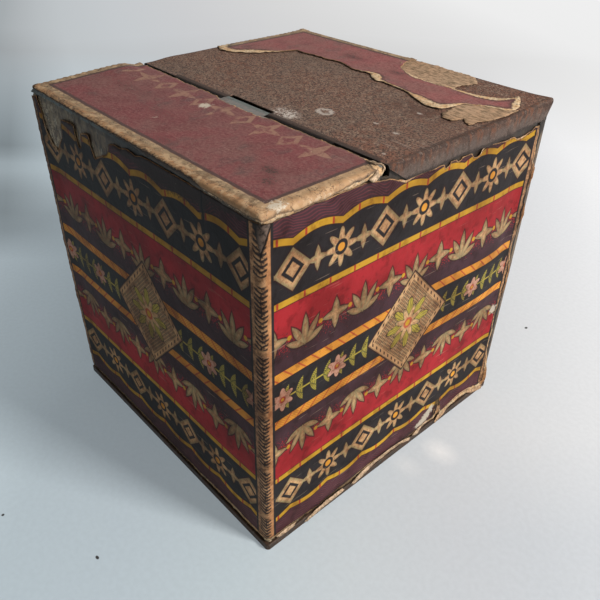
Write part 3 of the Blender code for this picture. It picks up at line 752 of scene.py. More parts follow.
def tin_paint(name, ground, rust_share=0.5, shine=0.35, wear=None):
    """Bare tin plate, dull grey, freckled and streaked with rust."""
    paint = Paint(name, ground, roughness=0.5, metallic=shine, specular=0.3)
    fine = paint.noise(1.8)
    middle = paint.noise(9, 0.65)
    paint.coat((84, 62, 48), middle.over(0.66 - rust_share * 0.2, 0.12) * 0.85)
    paint.coat((58, 42, 34), fine.over(0.58, 0.08) * 0.7)
    greys = paint.noise(3, 0.6, 3, shift=(0.2, 0.4, 0.1))
    paint.coat((122, 122, 116), greys.over(0.64, 0.06) * 0.35)
    # The wear layer; on the walls and the panel it also paints shade and a highlight
    if wear:
        wear(paint, fine)
    paint.roughness = middle * 0.5 + 0.3
    paint.relief = fine * 0.12 + middle * 0.2
    return paint.finish()


# Shapes

# Spacing of the points that fill a sheet, and of those along its torn edge, in mm
SHEET_GRID = 2.2
FRAY_STEP = 0.7


def torn(points, seed=0, swing=0.5, step=FRAY_STEP):
    """A closed outline in mm through the points, frayed at a fine step."""
    corners = np.array(points, float)
    ends = np.roll(corners, -1, axis=0)
    run = []
    for start, end in zip(corners, ends):
        count = max(1, int(round(np.hypot(*(end - start)) / step)))
        shares = np.arange(count)[:, None] / count
        run.append(start + (end - start) * shares)
    run = np.concatenate(run)
    frayed = []
    for x, y in run:
        drift = Vector((0, 0, 0))
        for size, weight in ((9, 1), (3.5, 0.7), (1.3, 0.45)):
            drift += noise.noise_vector(Vector((x / size, y / size, seed + size))) * weight
        frayed.append((x + drift.x * swing, y + drift.y * swing))
    return np.array(frayed)


def is_inside(points, outlines):
    """Which points lie inside the outlines, by counting crossings."""
    inside = np.zeros(len(points), bool)
    for outline in outlines:
        for (x0, y0), (x1, y1) in zip(outline, np.roll(outline, -1, axis=0)):
            if y0 == y1:
                continue
            crosses = (points[:, 1] < y0) != (points[:, 1] < y1)
            at = x0 + (points[:, 1] - y0) / (y1 - y0) * (x1 - x0)
            inside ^= crosses & (points[:, 0] < at)
    return inside


def edge_distance(points, outlines):
    """Distance of each point from the nearest point of the finely spaced outlines."""
    everything = np.concatenate(outlines)
    tree = kdtree.KDTree(len(everything))
    for index, (x, y) in enumerate(everything):
        tree.insert((x, y, 0), index)
    tree.balance()
    return np.array([tree.find((x, y, 0))[2] for x, y in points])


def fill(outlines, spacing):
    """Points and triangles that fill outlines in mm, and each point's distance from the edge."""
    everything = np.concatenate(outlines)
    low, high = everything.min(0), everything.max(0)
    across = np.arange(low[0], high[0] + spacing, spacing)
    up = np.arange(low[1], high[1] + spacing, spacing * 0.87)
    grid_x, grid_y = np.meshgrid(across, up)
    grid_x[1::2] += spacing / 2
    grid = np.stack([grid_x.ravel(), grid_y.ravel()], 1)
    grid = grid[is_inside(grid, outlines)]
    grid = grid[edge_distance(grid, outlines) > spacing * 0.35]
    edges = []
    count = 0
    for outline in outlines:
        size = len(outline)
        edges += [(count + i, count + (i + 1) % size) for i in range(size)]
        count += size
    points = np.concatenate([everything, grid])
    found = geometry.delaunay_2d_cdt([Vector(p) for p in points], edges, [], 0, 1e-5)
    places = np.array([tuple(v) for v in found[0]])
    triangles = np.array([face for face in found[2] if len(face) == 3])
    middles = places[triangles].mean(1)
    triangles = triangles[is_inside(middles, outlines)]
    used, order = np.unique(triangles, return_inverse=True)
    return places[used], order.reshape(-1, 3), edge_distance(places[used], outlines)


def add_object(name, data):
    """Puts a mesh, a lamp or a camera into the scene."""
    made = bpy.data.objects.new(name, data)
    scene.collection.objects.link(made)
    return made


def make_object(name, verts, faces, materials, sheet=None, shares=None):
    """A mesh with its materials, its places on the flat sheet in mm, and its shares of wear."""
    mesh = bpy.data.meshes.new(name)
    mesh.from_pydata([tuple(v) for v in verts], [], [tuple(int(i) for i in face) for face in faces])
    if sheet is not None:
        layer = mesh.uv_layers.new(name="sheet")
        corners = np.zeros(len(mesh.loops), np.int64)
        mesh.loops.foreach_get("vertex_index", corners)
        layer.data.foreach_set("uv", (np.array(sheet)[corners] * MM).ravel())
    for share, values in (shares or {}).items():
        mesh.attributes.new(share, "FLOAT", "POINT").data.foreach_set("value", np.array(values, float))
    for material in materials:
        mesh.materials.append(material)
    mesh.shade_smooth()
    return add_object(name, mesh)


def dress(piece, node, body):
    """Hangs the piece on the body that it moves with, and hides the solid that it stands for."""
    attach(piece, body)
    if node:
        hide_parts(node)


def paper_piece(name, node, body, slot, *shape):
    """A sheet of paper with a thickness, inwards, and torn fibre on its rim and back."""
    piece = make_object(name, *shape)
    solid = piece.modifiers.new("thickness", "SOLIDIFY")
    solid.thickness = PAPER
    solid.offset = -1
    solid.material_offset = 1
    solid.material_offset_rim = 1
    dress(piece, node, body)


def round_corner(along, down, off):
    """Place on the two walls of the paper that goes round the near corner (metres)."""
    arc = PAPER_CORNER * math.pi / 2
    angle = np.clip((along + arc / 2) / PAPER_CORNER, 0, math.pi / 2)
    x = PAPER_X - PAPER_CORNER + (PAPER_CORNER + off) * np.sin(angle) + np.minimum(along + arc / 2, 0)
    y = -PAPER_Y + PAPER_CORNER - (PAPER_CORNER + off) * np.cos(angle) + np.maximum(along - arc / 2, 0)
    return np.stack([x, y, TOP - down], 1)


def front_wall(x):
    """Run round the corner, in mm, of a place x across the -Y wall."""
    return x - (PAPER_X - PAPER_CORNER * (1 - math.pi / 4)) / MM


def right_wall(y):
    """Run round the corner, in mm, of a place y along the +X wall."""
    return y + (PAPER_Y - PAPER_CORNER * (1 - math.pi / 4)) / MM


def on_sheet(right=(), front=()):
    """Rows that start with a place along the +X or the -Y wall, with the run round the corner instead."""
    rows = [(right_wall(y), *others) for y, *others in right]
    return rows + [(front_wall(x), *others) for x, *others in front]


FACE_MIDDLES = (front_wall(0), right_wall(0))
PRINT_ENDS = (front_wall(-92.6), right_wall(90.4))

# Cracks through the side print: place along and down, and radii, mm
SIDE_CRACKS = on_sheet(right=((44, 192, 0.9, 8), (93, 60, 0.5, 26), (92.8, 112, 0.5, 16)),
                       front=((59.5, 14, 0.6, 11),))


def over_edges(x, y, off, low, high, radius):
    """Place on a flat top sheet that turns down over its edges (metres)."""
    core_x = np.clip(x, low[0] + radius, high[0] - radius)
    core_y = np.clip(y, low[1] + radius, high[1] - radius)
    over_x, over_y = x - core_x, y - core_y
    length = np.hypot(over_x, over_y)
    safe = np.maximum(length, 1e-9)
    angle = np.minimum(length / radius, math.pi / 2)
    out = (radius + off) * np.sin(angle)
    down = radius - (radius + off) * np.cos(angle) + np.maximum(length - radius * math.pi / 2, 0)
    return np.stack([core_x + over_x / safe * out, core_y + over_y / safe * out, TOP - down], 1)


def bumps(a, b, places):
    """Sum of soft bumps (a, b, radius a, radius b, height), all in the units of a and b."""
    total = np.zeros(len(a))
    for at_a, at_b, wide, tall, height in places:
        total += height * np.exp(-(((a - at_a) / wide) ** 2 + ((b - at_b) / tall) ** 2))
    return total


def rolling(points, size, seed, octaves=3):
    """Smooth random numbers near -1 to 1 at points in mm, with hills of a size."""
    values = np.zeros(len(points))
    shift = Vector((seed, seed, seed))
    for index, point in enumerate(points):
        place = Vector(tuple(point)).to_3d()
        total = 0
        weight = 1
        scale = 1 / size
        for _ in range(octaves):
            total += noise.noise(place * scale + shift) * weight
            weight *= 0.5
            scale *= 2.1
        values[index] = total
    return values


def ease(value, low, high):
    share = np.clip((value - low) / (high - low), 0, 1)
    return share * share * (3 - 2 * share)


# Dents and bulges by the wall's axis and side: along it, down from the top, their two radii, push out, mm
WALL_BUMPS = (
    (0, 1, [(62, 88, 30, 34, 2.4), (-30, 130, 60, 60, -0.8), (10, 180, 50, 14, 0.6), (86, 60, 14, 40, -1.2)]),
    (1, -1, [(-40, 110, 60, 50, 1), (40, 60, 40, 40, -0.6), (60, 160, 40, 30, 0.6)]),
    (0, -1, [(-20, 60, 60, 60, 2.2), (60, 120, 40, 40, -1.4)]),
    (1, 1, [(-30, 90, 50, 50, 1.2), (50, 140, 40, 40, -1.6)]),
)
HALF_SIDES = (PAPER_X / MM, PAPER_Y / MM)

# Upright corners that stand out: which corner, and how far along x and y, mm
CORNER_FLARES = [(-1, -1, 2.4, 1.5), (1, 1, 1.2, 1.2), (-1, 1, 0.8, 0.8)]


def warp_walls(points):
    """Pushes points on or near the four walls out or in, by the bumps of the old tin (metres)."""
    moved = np.array(points, float)
    mm = moved / MM
    down = TOP / MM - mm[:, 2]
    held = ease(down, 6, 30) * ease(TOP / MM - 5 - down, 2, 26)
    for axis, side, places in WALL_BUMPS:
        half = HALF_SIDES[axis]
        along = mm[:, 1 - axis]
        near = ease(mm[:, axis] * side, half - 9, half - 6)
        ends = ease(HALF_SIDES[1 - axis] - np.abs(along), 3, 26)
        push = bumps(along, down, places)
        moved[:, axis] += side * push * held * near * ends * MM
    x, y = mm[:, 0], mm[:, 1]
    height_share = (1 - 0.55 * ease(down, 90, 200)) * ease(down, 1, 5) * ease(TOP / MM - 4 - down, 0, 6)
    for side_x, side_y, push_x, push_y in CORNER_FLARES:
        push = ease(side_x * x, 82, 96) * ease(side_y * y, 84, 98) * height_share
        moved[:, 0] += side_x * push_x * push * MM
        moved[:, 1] += side_y * push_y * push * MM
    moved[:, 2] += raised_side(x, y) * ease(-down, -16, -2) * ease(-y, 36, 46) * MM
    return moved


def raised_side(x, y):
    """How far the -X edge of the top has been lifted, mm."""
    return bumps(x, y, [(-100, -46, 30, 34, 2.1), (-100, 20, 30, 40, 0.4)])


# How square the lid's bend is: 2 is round
BEND_POWER = 4

# Lid: place across, place along, their two radii and the lift, mm
LID_BUMPS = [(30, 108, 90, 34, 1.2), (98, 100, 24, 24, 0.6), (-60, 40, 50, 40, 0.5), (98, 40, 20, 30, -0.6)]


def sharper_bend(points):
    """Pushes the lid's round bend out to a nearly square one (metres)."""
    centre = np.array([-TOP_PAPER_LOW.x, -TOP_PAPER_LOW.y]) - LID_BEND
    over = np.maximum(np.abs(points[:, :2]) - centre, 0)
    over[points[:, 1] < 0, 1] = 0
    out = np.hypot(over[:, 0], over[:, 1])
    up = np.maximum(points[:, 2] - (TOP - LID_BEND), 0)
    length = np.maximum(np.hypot(out, up), 1e-9)
    powers = (out / length) ** BEND_POWER + (up / length) ** BEND_POWER
    grow = np.where((out > 0) & (up > 0), np.maximum(powers, 1e-9) ** (-1 / BEND_POWER) - 1, 0)
    moved = np.array(points, float)
    moved[:, :2] += np.sign(points[:, :2]) * over * grow[:, None]
    moved[:, 2] += up * grow
    return moved


def warp_lid(points):
    """Sags and lifts the lid and its papers; its skirt is knocked about (metres)."""
    moved = sharper_bend(points)
    mm = moved / MM
    x, y, z = mm[:, 0], mm[:, 1], mm[:, 2]
    free = ease(y, -18, 20)
    lift = bumps(x, y, LID_BUMPS) * free + raised_side(x, y) * ease(-x, 66, 80) * ease(y, -26, -8)
    moved[:, 2] += lift * MM
    pinch = ease(np.abs(x), 86, 99) * ease(y, 88, 101) * ease(z, 196, 204)
    moved[:, 0] += np.sign(x) * 1.1 * pinch * MM
    moved[:, 1] += 0.6 * pinch * MM
    moved[:, 2] += 0.5 * pinch * MM
    skirt = ease(LID_TOP / MM - z, 1.5, 9)
    flat = mm * (1, 1, 0.4)
    dent = (rolling(flat, 16, 3.1) * 0.8 + rolling(flat, 5, 5.2, 2) * 0.35) * skirt * ease(y, -14, 0)
    out_x = ease(np.abs(x), 95.5, 97.5) * np.sign(x)
    out_y = ease(y, 97.5, 99.5)
    moved[:, 0] += out_x * (dent - 0.25 * skirt) * MM
    moved[:, 1] += out_y * (dent - 0.25 * skirt) * MM
    hang = rolling(mm[:, :2], 11, 7.7) * 1.1
    moved[:, 2] += hang * skirt * free * MM
    return moved


# Facets that meet at a sharper angle than this keep a sharp edge between them
SMOOTH_UNDER = math.radians(35)


def finer_copy(node, name, step, warp, material):
    """The node's own shape, cut into a fine grid and bent by a warp, in its place."""
    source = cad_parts[node]
    body = bmesh.new()
    body.from_mesh(source.data)
    bmesh.ops.remove_doubles(body, verts=body.verts, dist=1e-6)
    bmesh.ops.dissolve_limit(body, angle_limit=math.radians(0.5), verts=body.verts, edges=body.edges)
    low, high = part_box(node)
    for axis in range(3):
        cuts = int((high[axis] - low[axis]) / (step * MM))
        normal = Vector([float(axis == other) for other in range(3)])
        for cut in range(1, cuts + 1):
            place = low + normal * ((high[axis] - low[axis]) * (cut - 0.5) / cuts)
            everything = body.verts[:] + body.edges[:] + body.faces[:]
            bmesh.ops.bisect_plane(body, geom=everything, dist=1e-7, plane_co=place, plane_no=normal)
    mesh = bpy.data.meshes.new(name)
    body.to_mesh(mesh)
    body.free()
    points = np.zeros(len(mesh.vertices) * 3)
    mesh.vertices.foreach_get("co", points)
    mesh.vertices.foreach_set("co", warp(points.reshape(-1, 3)).ravel())
    mesh.materials.append(material)
    for polygon in mesh.polygons:
        polygon.material_index = 0
    mesh.shade_smooth()
    mesh.set_sharp_from_angle(angle=SMOOTH_UNDER)
    return add_object(name, mesh)


# Side papers: their torn outlines, by the place along each wall and the distance down

NEAR_TEAR = on_sheet(front=(
    (-95.2, 199), (-95.6, 120), (-95, 60), (-95.6, 5.5), (-91, 4.2), (-89.5, 12), (-88.6, 22), (-85, 29.5),
    (-80, 32.5), (-76, 26), (-71, 21.6), (-69.8, 18), (-68.2, 11), (-60, 9.2), (-53.4, 9.6), (-52.8, 17),
    (-51.6, 21.2), (-48.6, 20.6), (-47.2, 16), (-46.6, 11.6), (-42, 10.2), (-37.2, 10.6), (-36.4, 18.4),
    (-34.4, 21.6), (-30, 19.4), (-25, 17), (-20.4, 15), (-18.6, 12), (-17, 8.6), (-12, 7), (-6, 7.4),
    (0, 5.6), (8, 6.2), (14, 4.6), (25, 4.4), (60, 4.4), (90, 4.4),
)) + on_sheet(right=(
    (-92, 4.4), (-60, 4.4), (-42, 4.8), (-36, 6), (-28, 7.2), (-22, 9.6), (-17, 11.6), (-5, 11.2), (5, 12),
    (11, 11.6), (12.5, 14.2), (15.4, 13.6), (16.4, 11.6), (20.6, 12), (22, 13.6), (24.4, 13.4), (25.4, 12),
    (33, 12.4), (35, 14.8), (38, 15.2), (40.2, 12.8), (43, 12), (55, 12.6), (62, 13.2), (70, 13.4),
    (73, 15), (76, 15.4), (82, 15), (87, 14), (89, 12.4), (92.2, 12.4), (92.8, 22), (93, 33), (95, 37),
    (95.2, 44), (93, 50), (92.8, 58), (95, 61), (95.2, 69), (92.8, 74), (92.2, 95), (94, 102), (94.2, 121),
    (92, 128), (90.8, 140), (92, 152), (91.8, 168), (93.6, 180), (97.4, 200.4), (92, 200.6), (84, 198.6),
    (70, 196.4), (56, 197.4), (47, 199.8), (46, 190), (43, 186), (41, 199), (20, 199.6), (-20, 198.6),
    (-60, 199.4), (-94, 199),
)) + on_sheet(front=((60, 199.2), (0, 199.6), (-50, 198.8)))
FAR_TEAR = on_sheet(front=(
    (-95, 199), (-95.4, 100), (-95, 12), (-80, 12.6), (-50, 11.6), (-20, 12.4), (10, 13.6), (40, 11.8),
    (60, 12.6), (90, 12),
)) + on_sheet(right=(
    (-92, 11.8), (-60, 12.4), (-20, 12), (10, 13), (22, 11.6), (30, 8), (38, 5.4), (60, 4.6), (90, 4.6),
    (92.4, 40), (92, 120), (92.4, 199), (60, 199.4), (0, 198.4), (-40, 199.4), (-94, 199),
)) + on_sheet(front=((60, 198.6), (10, 199.4), (-50, 198.8)))

# Where the torn edge shows a wide band of fresh fibre: along, down, their radii and the width in mm
FIBRE_BANDS = on_sheet(right=(
    (93, 27, 4, 12, 0.4), (95, 40, 5, 6, 0.8), (95, 65, 5, 6, 0.8), (94, 90, 4, 14, 0.4),
    (94, 112, 5, 12, 0.7), (92, 155, 4, 18, 0.5), (96, 190, 5, 13, 1.6), (70, 198, 34, 4, 1.6),
    (-88, 199, 7, 3, 0.9), (-18, 198, 22, 3, 0.8), (-17, 12, 4, 3, 0.9), (40, 11, 3, 3, 1.2),
    (78, 15, 4, 3, 0.9),
), front=(
    (66, 200, 34, 4, 2.6), (-20, 198, 60, 3, 0.5), (-84, 28, 7, 8, 1.8), (-46, 12, 5, 4, 0.7),
    (-30, 19, 6, 4, 0.6),
))
FAR_BANDS = on_sheet(
    right=((91, 70, 5, 30, 1.8), (91, 180, 5, 18, 2.2), (10, 199, 30, 4, 1.2), (-40, 12, 16, 3, 0.9)),
    front=((-60, 199, 30, 4, 1.4), (20, 12, 20, 3, 1)),
)

# Curled places of both papers: along, down, their radii and the lift, mm
CURLS = on_sheet(right=(
    (94, 40, 6, 16, 0.8), (94, 68, 6, 10, 0.9), (93, 112, 6, 14, 0.9), (90, 150, 4, 20, 0.8),
    (94, 190, 7, 16, 2), (66, 198, 26, 5, 1.6), (38, 13, 3, 3, 1.2),
), front=((-60, 12, 8, 5, 0.7), (-42, 13, 5, 4, 0.9)))
CURLS += on_sheet(right=((43, 192, 4, 8, 1.6),))

# Places rubbed down to pale fibre, and dark ones: along, down, their radii and how strong
SIDE_SCRAPES = on_sheet(
    right=((37, 187, 3, 4, 0.8), (33, 192, 5, 4, 0.8), (27, 196, 6, 3, 0.8), (88, 133, 3, 4, 1)),
    front=((40, 8, 1, 1, 0.5), (-82, 30, 5, 4, 0.5)),
)
SIDE_STAINS = on_sheet(right=(
    (43, 184, 3, 6, 1), (42, 194, 3, 6, 1), (0, 198, 90, 3, 0.6), (60, 12, 50, 3, 0.6),
), front=(
    (36, 5, 28, 8, 1.6), (59.5, 12, 1.6, 9, 0.9), (-51, 17, 3, 6, 1), (-35, 17, 3, 6, 1), (-4, 7, 14, 3, 0.8),
    (84, 4, 16, 4, 0.8), (-60, 10, 30, 4, 0.6), (-50, 198, 50, 3, 0.5),
))
FAR_SCRAPES = on_sheet(right=((-20, 60, 3, 4, 0.7), (64, 192, 5, 4, 1)), front=((30, 150, 5, 3, 0.8),))
FAR_STAINS = on_sheet(right=((0, 198, 90, 3, 0.7),), front=((0, 198, 90, 3, 0.7), (0, 12, 90, 3, 0.7)))


def wrap_paper(points, edge):
    """Sets a flat side paper, in mm, round the near corner, with its edges curling off the wall."""
    along, down = points[:, 0], points[:, 1]
    curl = bumps(along, down, CURLS) * np.exp(-edge / 2.6)
    rough = np.abs(rolling(points, 5, 1.3, 2)) * 0.5 * np.exp(-edge / 1.5)
    return round_corner(along * MM, down * MM, (curl + rough) * MM)


def shares_at(points, edge, plain_width, bands, scrapes=(), stains=()):
    """For each point: its distance from the torn edge as a share of the bare band, and the wear there."""
    a, b = points[:, 0], points[:, 1]
    width = bumps(a, b, bands)
    return {
        "tear": edge / (plain_width + width),
        "fresh": np.clip(0.1 + width, 0, 1),
        "scrape": bumps(a, b, scrapes),
        "stain": bumps(a, b, stains),
    }


def side_paper(name, node, outline, wear, turned_round=False):
    """A printed paper round two walls: the near two, or with a half turn the far two."""
    points, triangles, edge = fill([outline], SHEET_GRID)
    placed = wrap_paper(points, edge)
    if turned_round:
        placed = placed * (-1, -1, 1)
    shares = shares_at(points, edge, 0.35, *wear)
    shape = (warp_walls(placed), triangles[:, ::-1], (side_print, torn_fibre), points, shares)
    paper_piece(name, node, "case", "side_paper", *shape)


torn_fibre = fibre_paint()
side_print = side_print_paint()
side_paper("side_paper_near", "label_front", torn(NEAR_TEAR), (FIBRE_BANDS, SIDE_SCRAPES, SIDE_STAINS))
far_wear = (FAR_BANDS, FAR_SCRAPES, FAR_STAINS)
side_paper("side_paper_far", "label_back", torn(FAR_TEAR, seed=5), far_wear, turned_round=True)

# Loose flakes of fibre along the foot of the +X wall: how fresh, and outline along and down
FOOT_FLAKES = (
    (1, ((-75, 202), (-66, 199.8), (-55, 199.4), (-44, 199.6), (-43, 201), (-54, 201.8), (-64, 202.4),
         (-73, 203.8))),
    (1, ((-37, 200.4), (-28, 198.4), (-14, 197), (0, 197), (10, 197.8), (17, 199.4), (16, 200.6),
         (8, 199.4), (-4, 199.4), (-18, 199.6), (-28, 200.8), (-35, 202.2))),
    (0.8, ((19, 199.8), (25, 198), (33, 196.6), (36, 197.4), (30, 198.8), (23, 200.6))),
    (0.2, ((40, 190.4), (45.6, 190), (46.4, 196.6), (41, 197.2))),
    (0.5, ((41, 201.4), (48, 198.2), (58, 195.4), (68, 193.6), (78, 195), (88, 198.6), (95, 202), (94, 204.2),
           (87, 202.8), (77, 198.8), (68, 197.2), (58, 198.8), (48, 201.8), (42, 203.6))),
    (0.8, ((-95, 198.2), (-88, 197.8), (-80, 198.6), (-82, 200), (-94, 199.8))),
)


def foot_flake(index, fresh, outline):
    """One flake that has come loose and hangs over the rim of the foot."""
    points, triangles, edge = fill([torn(on_sheet(right=outline), index, 0.35, 0.6)], 1.5)
    over_rim = ease(points[:, 1], 199, 201) * 1.1
    curl = 0.5 * np.exp(-edge / 1.2)
    placed = round_corner(points[:, 0] * MM, points[:, 1] * MM, (0.5 + over_rim + curl) * MM)
    shares = {"fresh": np.full(len(points), fresh)}
    name = "foot_flake_%d" % index
    paper_piece(name, None, "case", "side_paper", placed, triangles[:, ::-1], (torn_fibre,), None, shares)


for index, (fresh, outline) in enumerate(FOOT_FLAKES):
    foot_flake(index, fresh, outline)


# Top papers: their torn outlines, across and along

TOP_TEAR = (
    (-99.4, -33.4), (-99.8, -60), (-100, -96), (-96, -101.6), (-70, -101.4), (-40, -102), (-10, -101.2),
    (20, -102.4), (50, -102.8), (60, -104), (92, -104.2), (100.4, -103), (102.4, -96), (102.2, -70),
    (102, -50), (101.4, -42), (101.8, -35), (99.4, -33), (97.4, -35.4), (94, -33.2), (84, -33.4),
    (60, -33.6), (42, -34), (25, -34.2), (21, -36), (0, -36.2), (-15, -35.6), (-20, -33.8), (-45, -33.6),
    (-60, -33.4), (-68, -33), (-84, -33.2),
)
LID_TEAR = (
    (-99, 25), (-99.6, 60), (-99.4, 100.6), (-60, 101.2), (-20, 101), (6, 100), (4, 94), (6, 88), (9, 81.4),
    (16, 77.4), (23, 74), (31, 72.4), (42, 72.2), (54, 72.8), (62, 73.4), (70, 74.6), (78, 77.4), (83, 82),
    (86, 88), (90.6, 83), (94, 76), (95.4, 70), (92, 66.6), (84, 64), (76, 60), (72, 55.6), (70.6, 46),
    (68, 41.6), (60, 41), (54, 43), (47, 46.6), (40, 50.4), (30, 51.4), (20, 53), (16, 51.8), (10, 54.6),
    (5, 58.4), (-3, 57.6), (-8, 57), (-12, 58.2), (-18, 60.2), (-24, 61.4), (-30, 60), (-45, 58.6),
    (-55, 57.2), (-59, 58.4), (-62, 50.6), (-66, 42.4), (-68.6, 36), (-74, 29.6), (-80, 23.4), (-90, 20.4),
)
CREAM_PATCHES = (
    ((71, 59), (76, 62.6), (82, 65.4), (90, 68.6), (96.4, 71.4), (96.8, 60), (94.6, 51), (92.4, 44),
     (91.6, 36.6), (88, 37.8), (85, 41), (82.4, 33.6), (76.4, 33.8), (73, 38.4), (72.4, 46)),
    ((-1, 98.4), (20, 99.4), (50, 98.6), (58, 90.4), (55.4, 84), (52.6, 78), (55.4, 73.2), (42, 71.6),
     (30, 70.6), (21, 73.4), (12, 77.4), (6, 83), (1, 91.4)),
)
HINGE_END_FLAKES = (
    ((90, -35), (92.6, -33.4), (95, -33.8), (96, -33), (98.4, -33.4), (99.4, -34.4), (96.6, -34.8),
     (95.4, -35.6), (93, -35.4)),
    ((98.4, -38.6), (100.8, -36.8), (102.8, -38.4), (102.4, -41.6), (101, -43.4), (99.6, -41)),
)

# Lines round the maroon print: least and most, across and along
TOP_BORDER = ((-92, -92.8), (91.8, 200))
LID_BORDER = ((-92, -200), (200, 94.6))

# Wear of the top papers: across, along, their radii, and the width of a bare band or how strong
TOP_BANDS = [(96, -92, 9, 7, 1.4), (100, -50, 6, 8, 1.2), (96, -36, 6, 5, 2.6), (60, -104, 40, 3, 0.8)]
TOP_SCRAPES = [(-11.5, -47, 4, 4, 0.9), (-13, -76, 2, 2, 0.6), (96, -91, 5, 6, 0.7), (101, -70, 3, 12, 0.4)]
TOP_STAINS = [
    (70, -72, 8, 4, 0.55), (78, -80, 6, 4, 0.5), (15, -88, 12, 4, 0.4), (101, -42, 2, 2, 1),
    (101, -50, 2, 1.6, 1), (-60, -99, 40, 2, 0.5), (-60, -62, 30, 8, 0.3), (-20, -70, 16, 5, 0.35),
    (0, -34, 60, 1.6, 0.5), (96.6, -35.4, 4, 1.2, 1.8), (101.6, -44.4, 1.2, 1.8, 1.4),
    (20, -101, 40, 1.6, 0.6),
]
LID_BANDS = [
    (-92, 22, 12, 12, 6), (-74, 34, 10, 12, 6), (88, 66, 8, 5, 1.2), (92, 80, 5, 9, 3.2),
    (75, 75, 14, 7, 3.6), (10, 57, 7, 6, 8), (30, 73, 24, 3, 1), (28, 51, 10, 4, 1.2), (49, 47, 6, 6, 4),
    (60, 43, 9, 8, 9), (72, 50, 6, 8, 3),
]
LID_SCRAPES = [(11, 57, 5, 3, 0.5)]
LID_STAINS = [(-25, 75, 12, 6, 0.5), (15, 71, 10, 5, 0.5), (-50, 99, 50, 2, 0.5), (66, 52, 8, 3, 0.3)]

# Tops of the two bodies: how far back they reach, the bend at their edges, and what warps them
TOP_FORMS = {
    "case": (1, TOP_PAPER_BEND, warp_walls),
    "lid": (-TOP_PAPER_LOW.y, LID_BEND, warp_lid),
}


def top_sheet(name, node, body, outlines, paint, wear, off, seed, spacing=SHEET_GRID):
    """A paper on the top of the tin, turned down over the edges."""
    high_y, radius, warp = TOP_FORMS[body]
    points, triangles, edge = fill([torn(outline, seed, 0.6) for outline in outlines], spacing)
    rough = np.abs(rolling(points, 5, seed, 2)) * 0.6 * np.exp(-edge / 1.8)
    low = (TOP_PAPER_LOW.x, TOP_PAPER_LOW.y)
    high = (-low[0], high_y)
    placed = over_edges(points[:, 0] * MM, points[:, 1] * MM, (rough + off) * MM, low, high, radius)
    shares = shares_at(points, edge, 0.4, *wear)
    paper_piece(name, node, body, "top_paper", warp(placed), triangles, (paint, torn_fibre), points, shares)


top_print = top_print_paint("top_print", MAROON_INK, *TOP_BORDER, (0, 0, 0))
lid_print = top_print_paint("lid_print", (138, 74, 72), *LID_BORDER, (0.4, 0.3, 0.1))
top_wear = (TOP_BANDS, TOP_SCRAPES, TOP_STAINS)
lid_wear = (LID_BANDS, LID_SCRAPES, LID_STAINS)
top_sheet("top_paper", "label_top", "case", [TOP_TEAR], top_print, top_wear, off=0, seed=2)
top_sheet("lid_paper", "label_lid", "lid", [LID_TEAR], lid_print, lid_wear, off=0.1, seed=4)
pale = ([(50, 70, 90, 90, 0.5)],)
top_sheet("lid_paper_backing", None, "lid", CREAM_PATCHES, torn_fibre, pale, off=-0.1, seed=6, spacing=2)
pale = ([(96, -36, 30, 30, 0.7)],)
top_sheet("hinge_end_flakes", None, "case", HINGE_END_FLAKES, torn_fibre, pale, off=0.7, seed=8, spacing=1.4)


# Tin

wall_tin = tin_paint("wall_tin", (100, 80, 58), shine=0, wear=wall_wear_and_shade)
panel_tin = tin_paint("panel_tin", (104, 110, 106), 0.2, wear=panel_wear_and_highlight)

# Finer copies: piece, its solid, spacing of the grid in mm, body, warp, material and slot
for name, node, step, body, warp, material, slot in (
    ("lid_shell", "lid_plate", 3, "lid", warp_lid, lid_rust_paint(), "rusty_tin"),
    ("wall_near", "body_sheet_front", 8, "case", warp_walls, wall_tin, "bare_tin"),
    ("wall_far", "body_sheet_back", 8, "case", warp_walls, wall_tin, "bare_tin"),
    ("fixed_panel", "top_plate", 5, "case", warp_walls, panel_tin, "bare_tin"),
):
    dress(finer_copy(node, name, step, warp, material), node, body)

# Solids that keep their shapes
for node, material in (("bottom_plate", tin_paint("bottom_tin", (66, 54, 46), 0.8)),
                       ("hinge_wire", tin_paint("wire_steel", (70, 60, 52), 0.7))):
    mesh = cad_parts[node].data
    mesh.materials.clear()
    mesh.materials.append(material)


# Studio

# How much the floor glows of its own near the tin
FLOOR_GLOW = 0.35

# Half the width of the floor and the height of its walls, in metres
FLOOR_REACH = 8
WALL_RISE = 4

# Light of the sky at the sides, how much is added straight up, and its tint
SKY_LEAST = 0.03
SKY_RISE = 0.4
SKY_TINT = (0.94, 0.92, 0.91, 1)


def make_camera():
    """Camera at the photograph's place, turned as it was held."""
    data = bpy.data.cameras.new("camera")
    data.lens = CAMERA_LENS
    data.sensor_width = SENSOR_WIDTH
    data.sensor_fit = "HORIZONTAL"
    turn = Matrix.Rotation(CAMERA_AZIMUTH, 4, "Z")
    turn = turn @ Matrix.Rotation(math.pi / 2 - CAMERA_ELEVATION, 4, "X")
    turn = turn @ Matrix.Rotation(CAMERA_ROLL, 4, "Z")
    scene.camera = add_object("camera", data)
    scene.camera.matrix_world = Matrix.Translation(CAMERA_PLACE) @ turn


def area_light(name, place, target, size, power, colour):
    """A square lamp at a place, turned to its target (metres, watts)."""
    data = bpy.data.lights.new(name, "AREA")
    data.size = size
    data.energy = power
    data.color = colour
    lamp = add_object(name, data)
    lamp.location = place
    lamp.rotation_euler = (Vector(target) - Vector(place)).to_track_quat("-Z", "Y").to_euler()


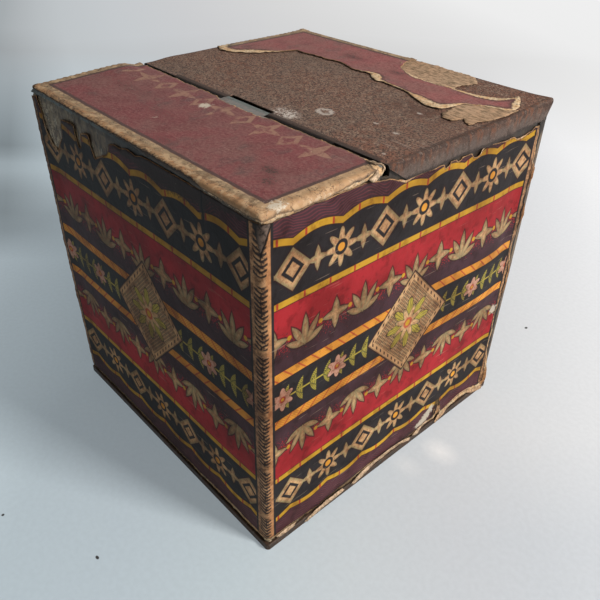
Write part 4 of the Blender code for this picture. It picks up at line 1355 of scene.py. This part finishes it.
def make_floor():
    """A wide pale floor with low walls round it: blue grey on the left and near white on the right, painted
    light that falls off to the left.
    """
    plan = [(-1, -1), (1, -1), (1, 1), (-1, 1)]
    corners = [(x * FLOOR_REACH, y * FLOOR_REACH, z) for z in (0, WALL_RISE) for x, y in plan]
    sides = [(index, index + 4, (index + 1) % 4 + 4, (index + 1) % 4) for index in range(4)]
    paint = Paint("floor", None, roughness=0.85, specular=0.2)
    x, y, _ = paint.xyz()
    across = x * math.cos(CAMERA_AZIMUTH) + y * math.sin(CAMERA_AZIMUTH)
    away = y * math.cos(CAMERA_AZIMUTH) - x * math.sin(CAMERA_AZIMUTH)
    lean = across + away * 0.35
    # Painted light: the tone paler on the lamp's side, to the right, and darker to the left
    near = paint.ramp(across, FLOOR_NEAR)
    paint.base = paint.blend(near, paint.ramp(lean, FLOOR_FAR), away.over(640, 400))
    folds = [(place, (light, light, light, 1)) for place, light in FLOOR_FOLDS]
    paint.shade(paint.ramp(away, folds), lean.under(-160, 100))
    # Painted shade: the floor a little darker near the camera on the right
    paint.shade((241, 244, 247), away.under(-90, 80) * across.over(90, 100))
    for *place, share in FLOOR_GLINTS:
        paint.coat((250, 248, 246), paint.spot(x, y, *place).under(0.55, 1.1) * share)
    for place in FLOOR_CRUMBS:
        paint.coat((60, 58, 58), paint.spot(x, y, *place).under(1, 0.4))
    tone = paint.base
    paint.shade((226, 226, 226), paint.noise(3, 0.5, 3).over(0.5, 0.3) * 0.25)
    material = paint.finish()

    # The glow shows to the eye and in mirrors, but lights nothing
    rays = paint.nodes.new("ShaderNodeLightPath")
    seen = paint.result(rays, "Is Camera Ray").most(paint.result(rays, "Is Glossy Ray"))
    seen = seen.most(paint.result(rays, "Is Transmission Ray"))
    glowing = paint.length(x, y).over(620, 760) * (1 - FLOOR_GLOW) + FLOOR_GLOW
    glow = paint.add("ShaderNodeEmission", Color=tone)
    mix = paint.nodes.new("ShaderNodeMixShader")
    connect(paint.tree, mix.inputs, (glowing * seen, paint.result(paint.shader), paint.result(glow)))
    connect(paint.tree, paint.nodes["Material Output"].inputs, [paint.result(mix)])
    make_object("floor", corners, [(0, 1, 2, 3)] + sides, (material,))


def make_world():
    """Soft light from above and less from the sides."""
    world = bpy.data.worlds.new("world")
    scene.world = world
    world.use_nodes = True
    tree = world.node_tree
    split = tree.nodes.new("ShaderNodeSeparateXYZ")
    tree.links.new(tree.nodes.new("ShaderNodeTexCoord").outputs["Generated"], split.inputs[0])
    strength = Sum(tree, split.outputs[2]).most(0).scaled(SKY_RISE, SKY_LEAST)
    sky = tree.nodes["Background"].inputs
    connect(tree, (sky["Color"], sky["Strength"]), (SKY_TINT, strength))


make_camera()
make_floor()
make_world()
scene.view_settings.view_transform = "Standard"
area_light("window", (1.096, 0.331, 1.05), target=(0, 0, 0.1), size=0.3, power=26, colour=(1, 0.97, 0.93))
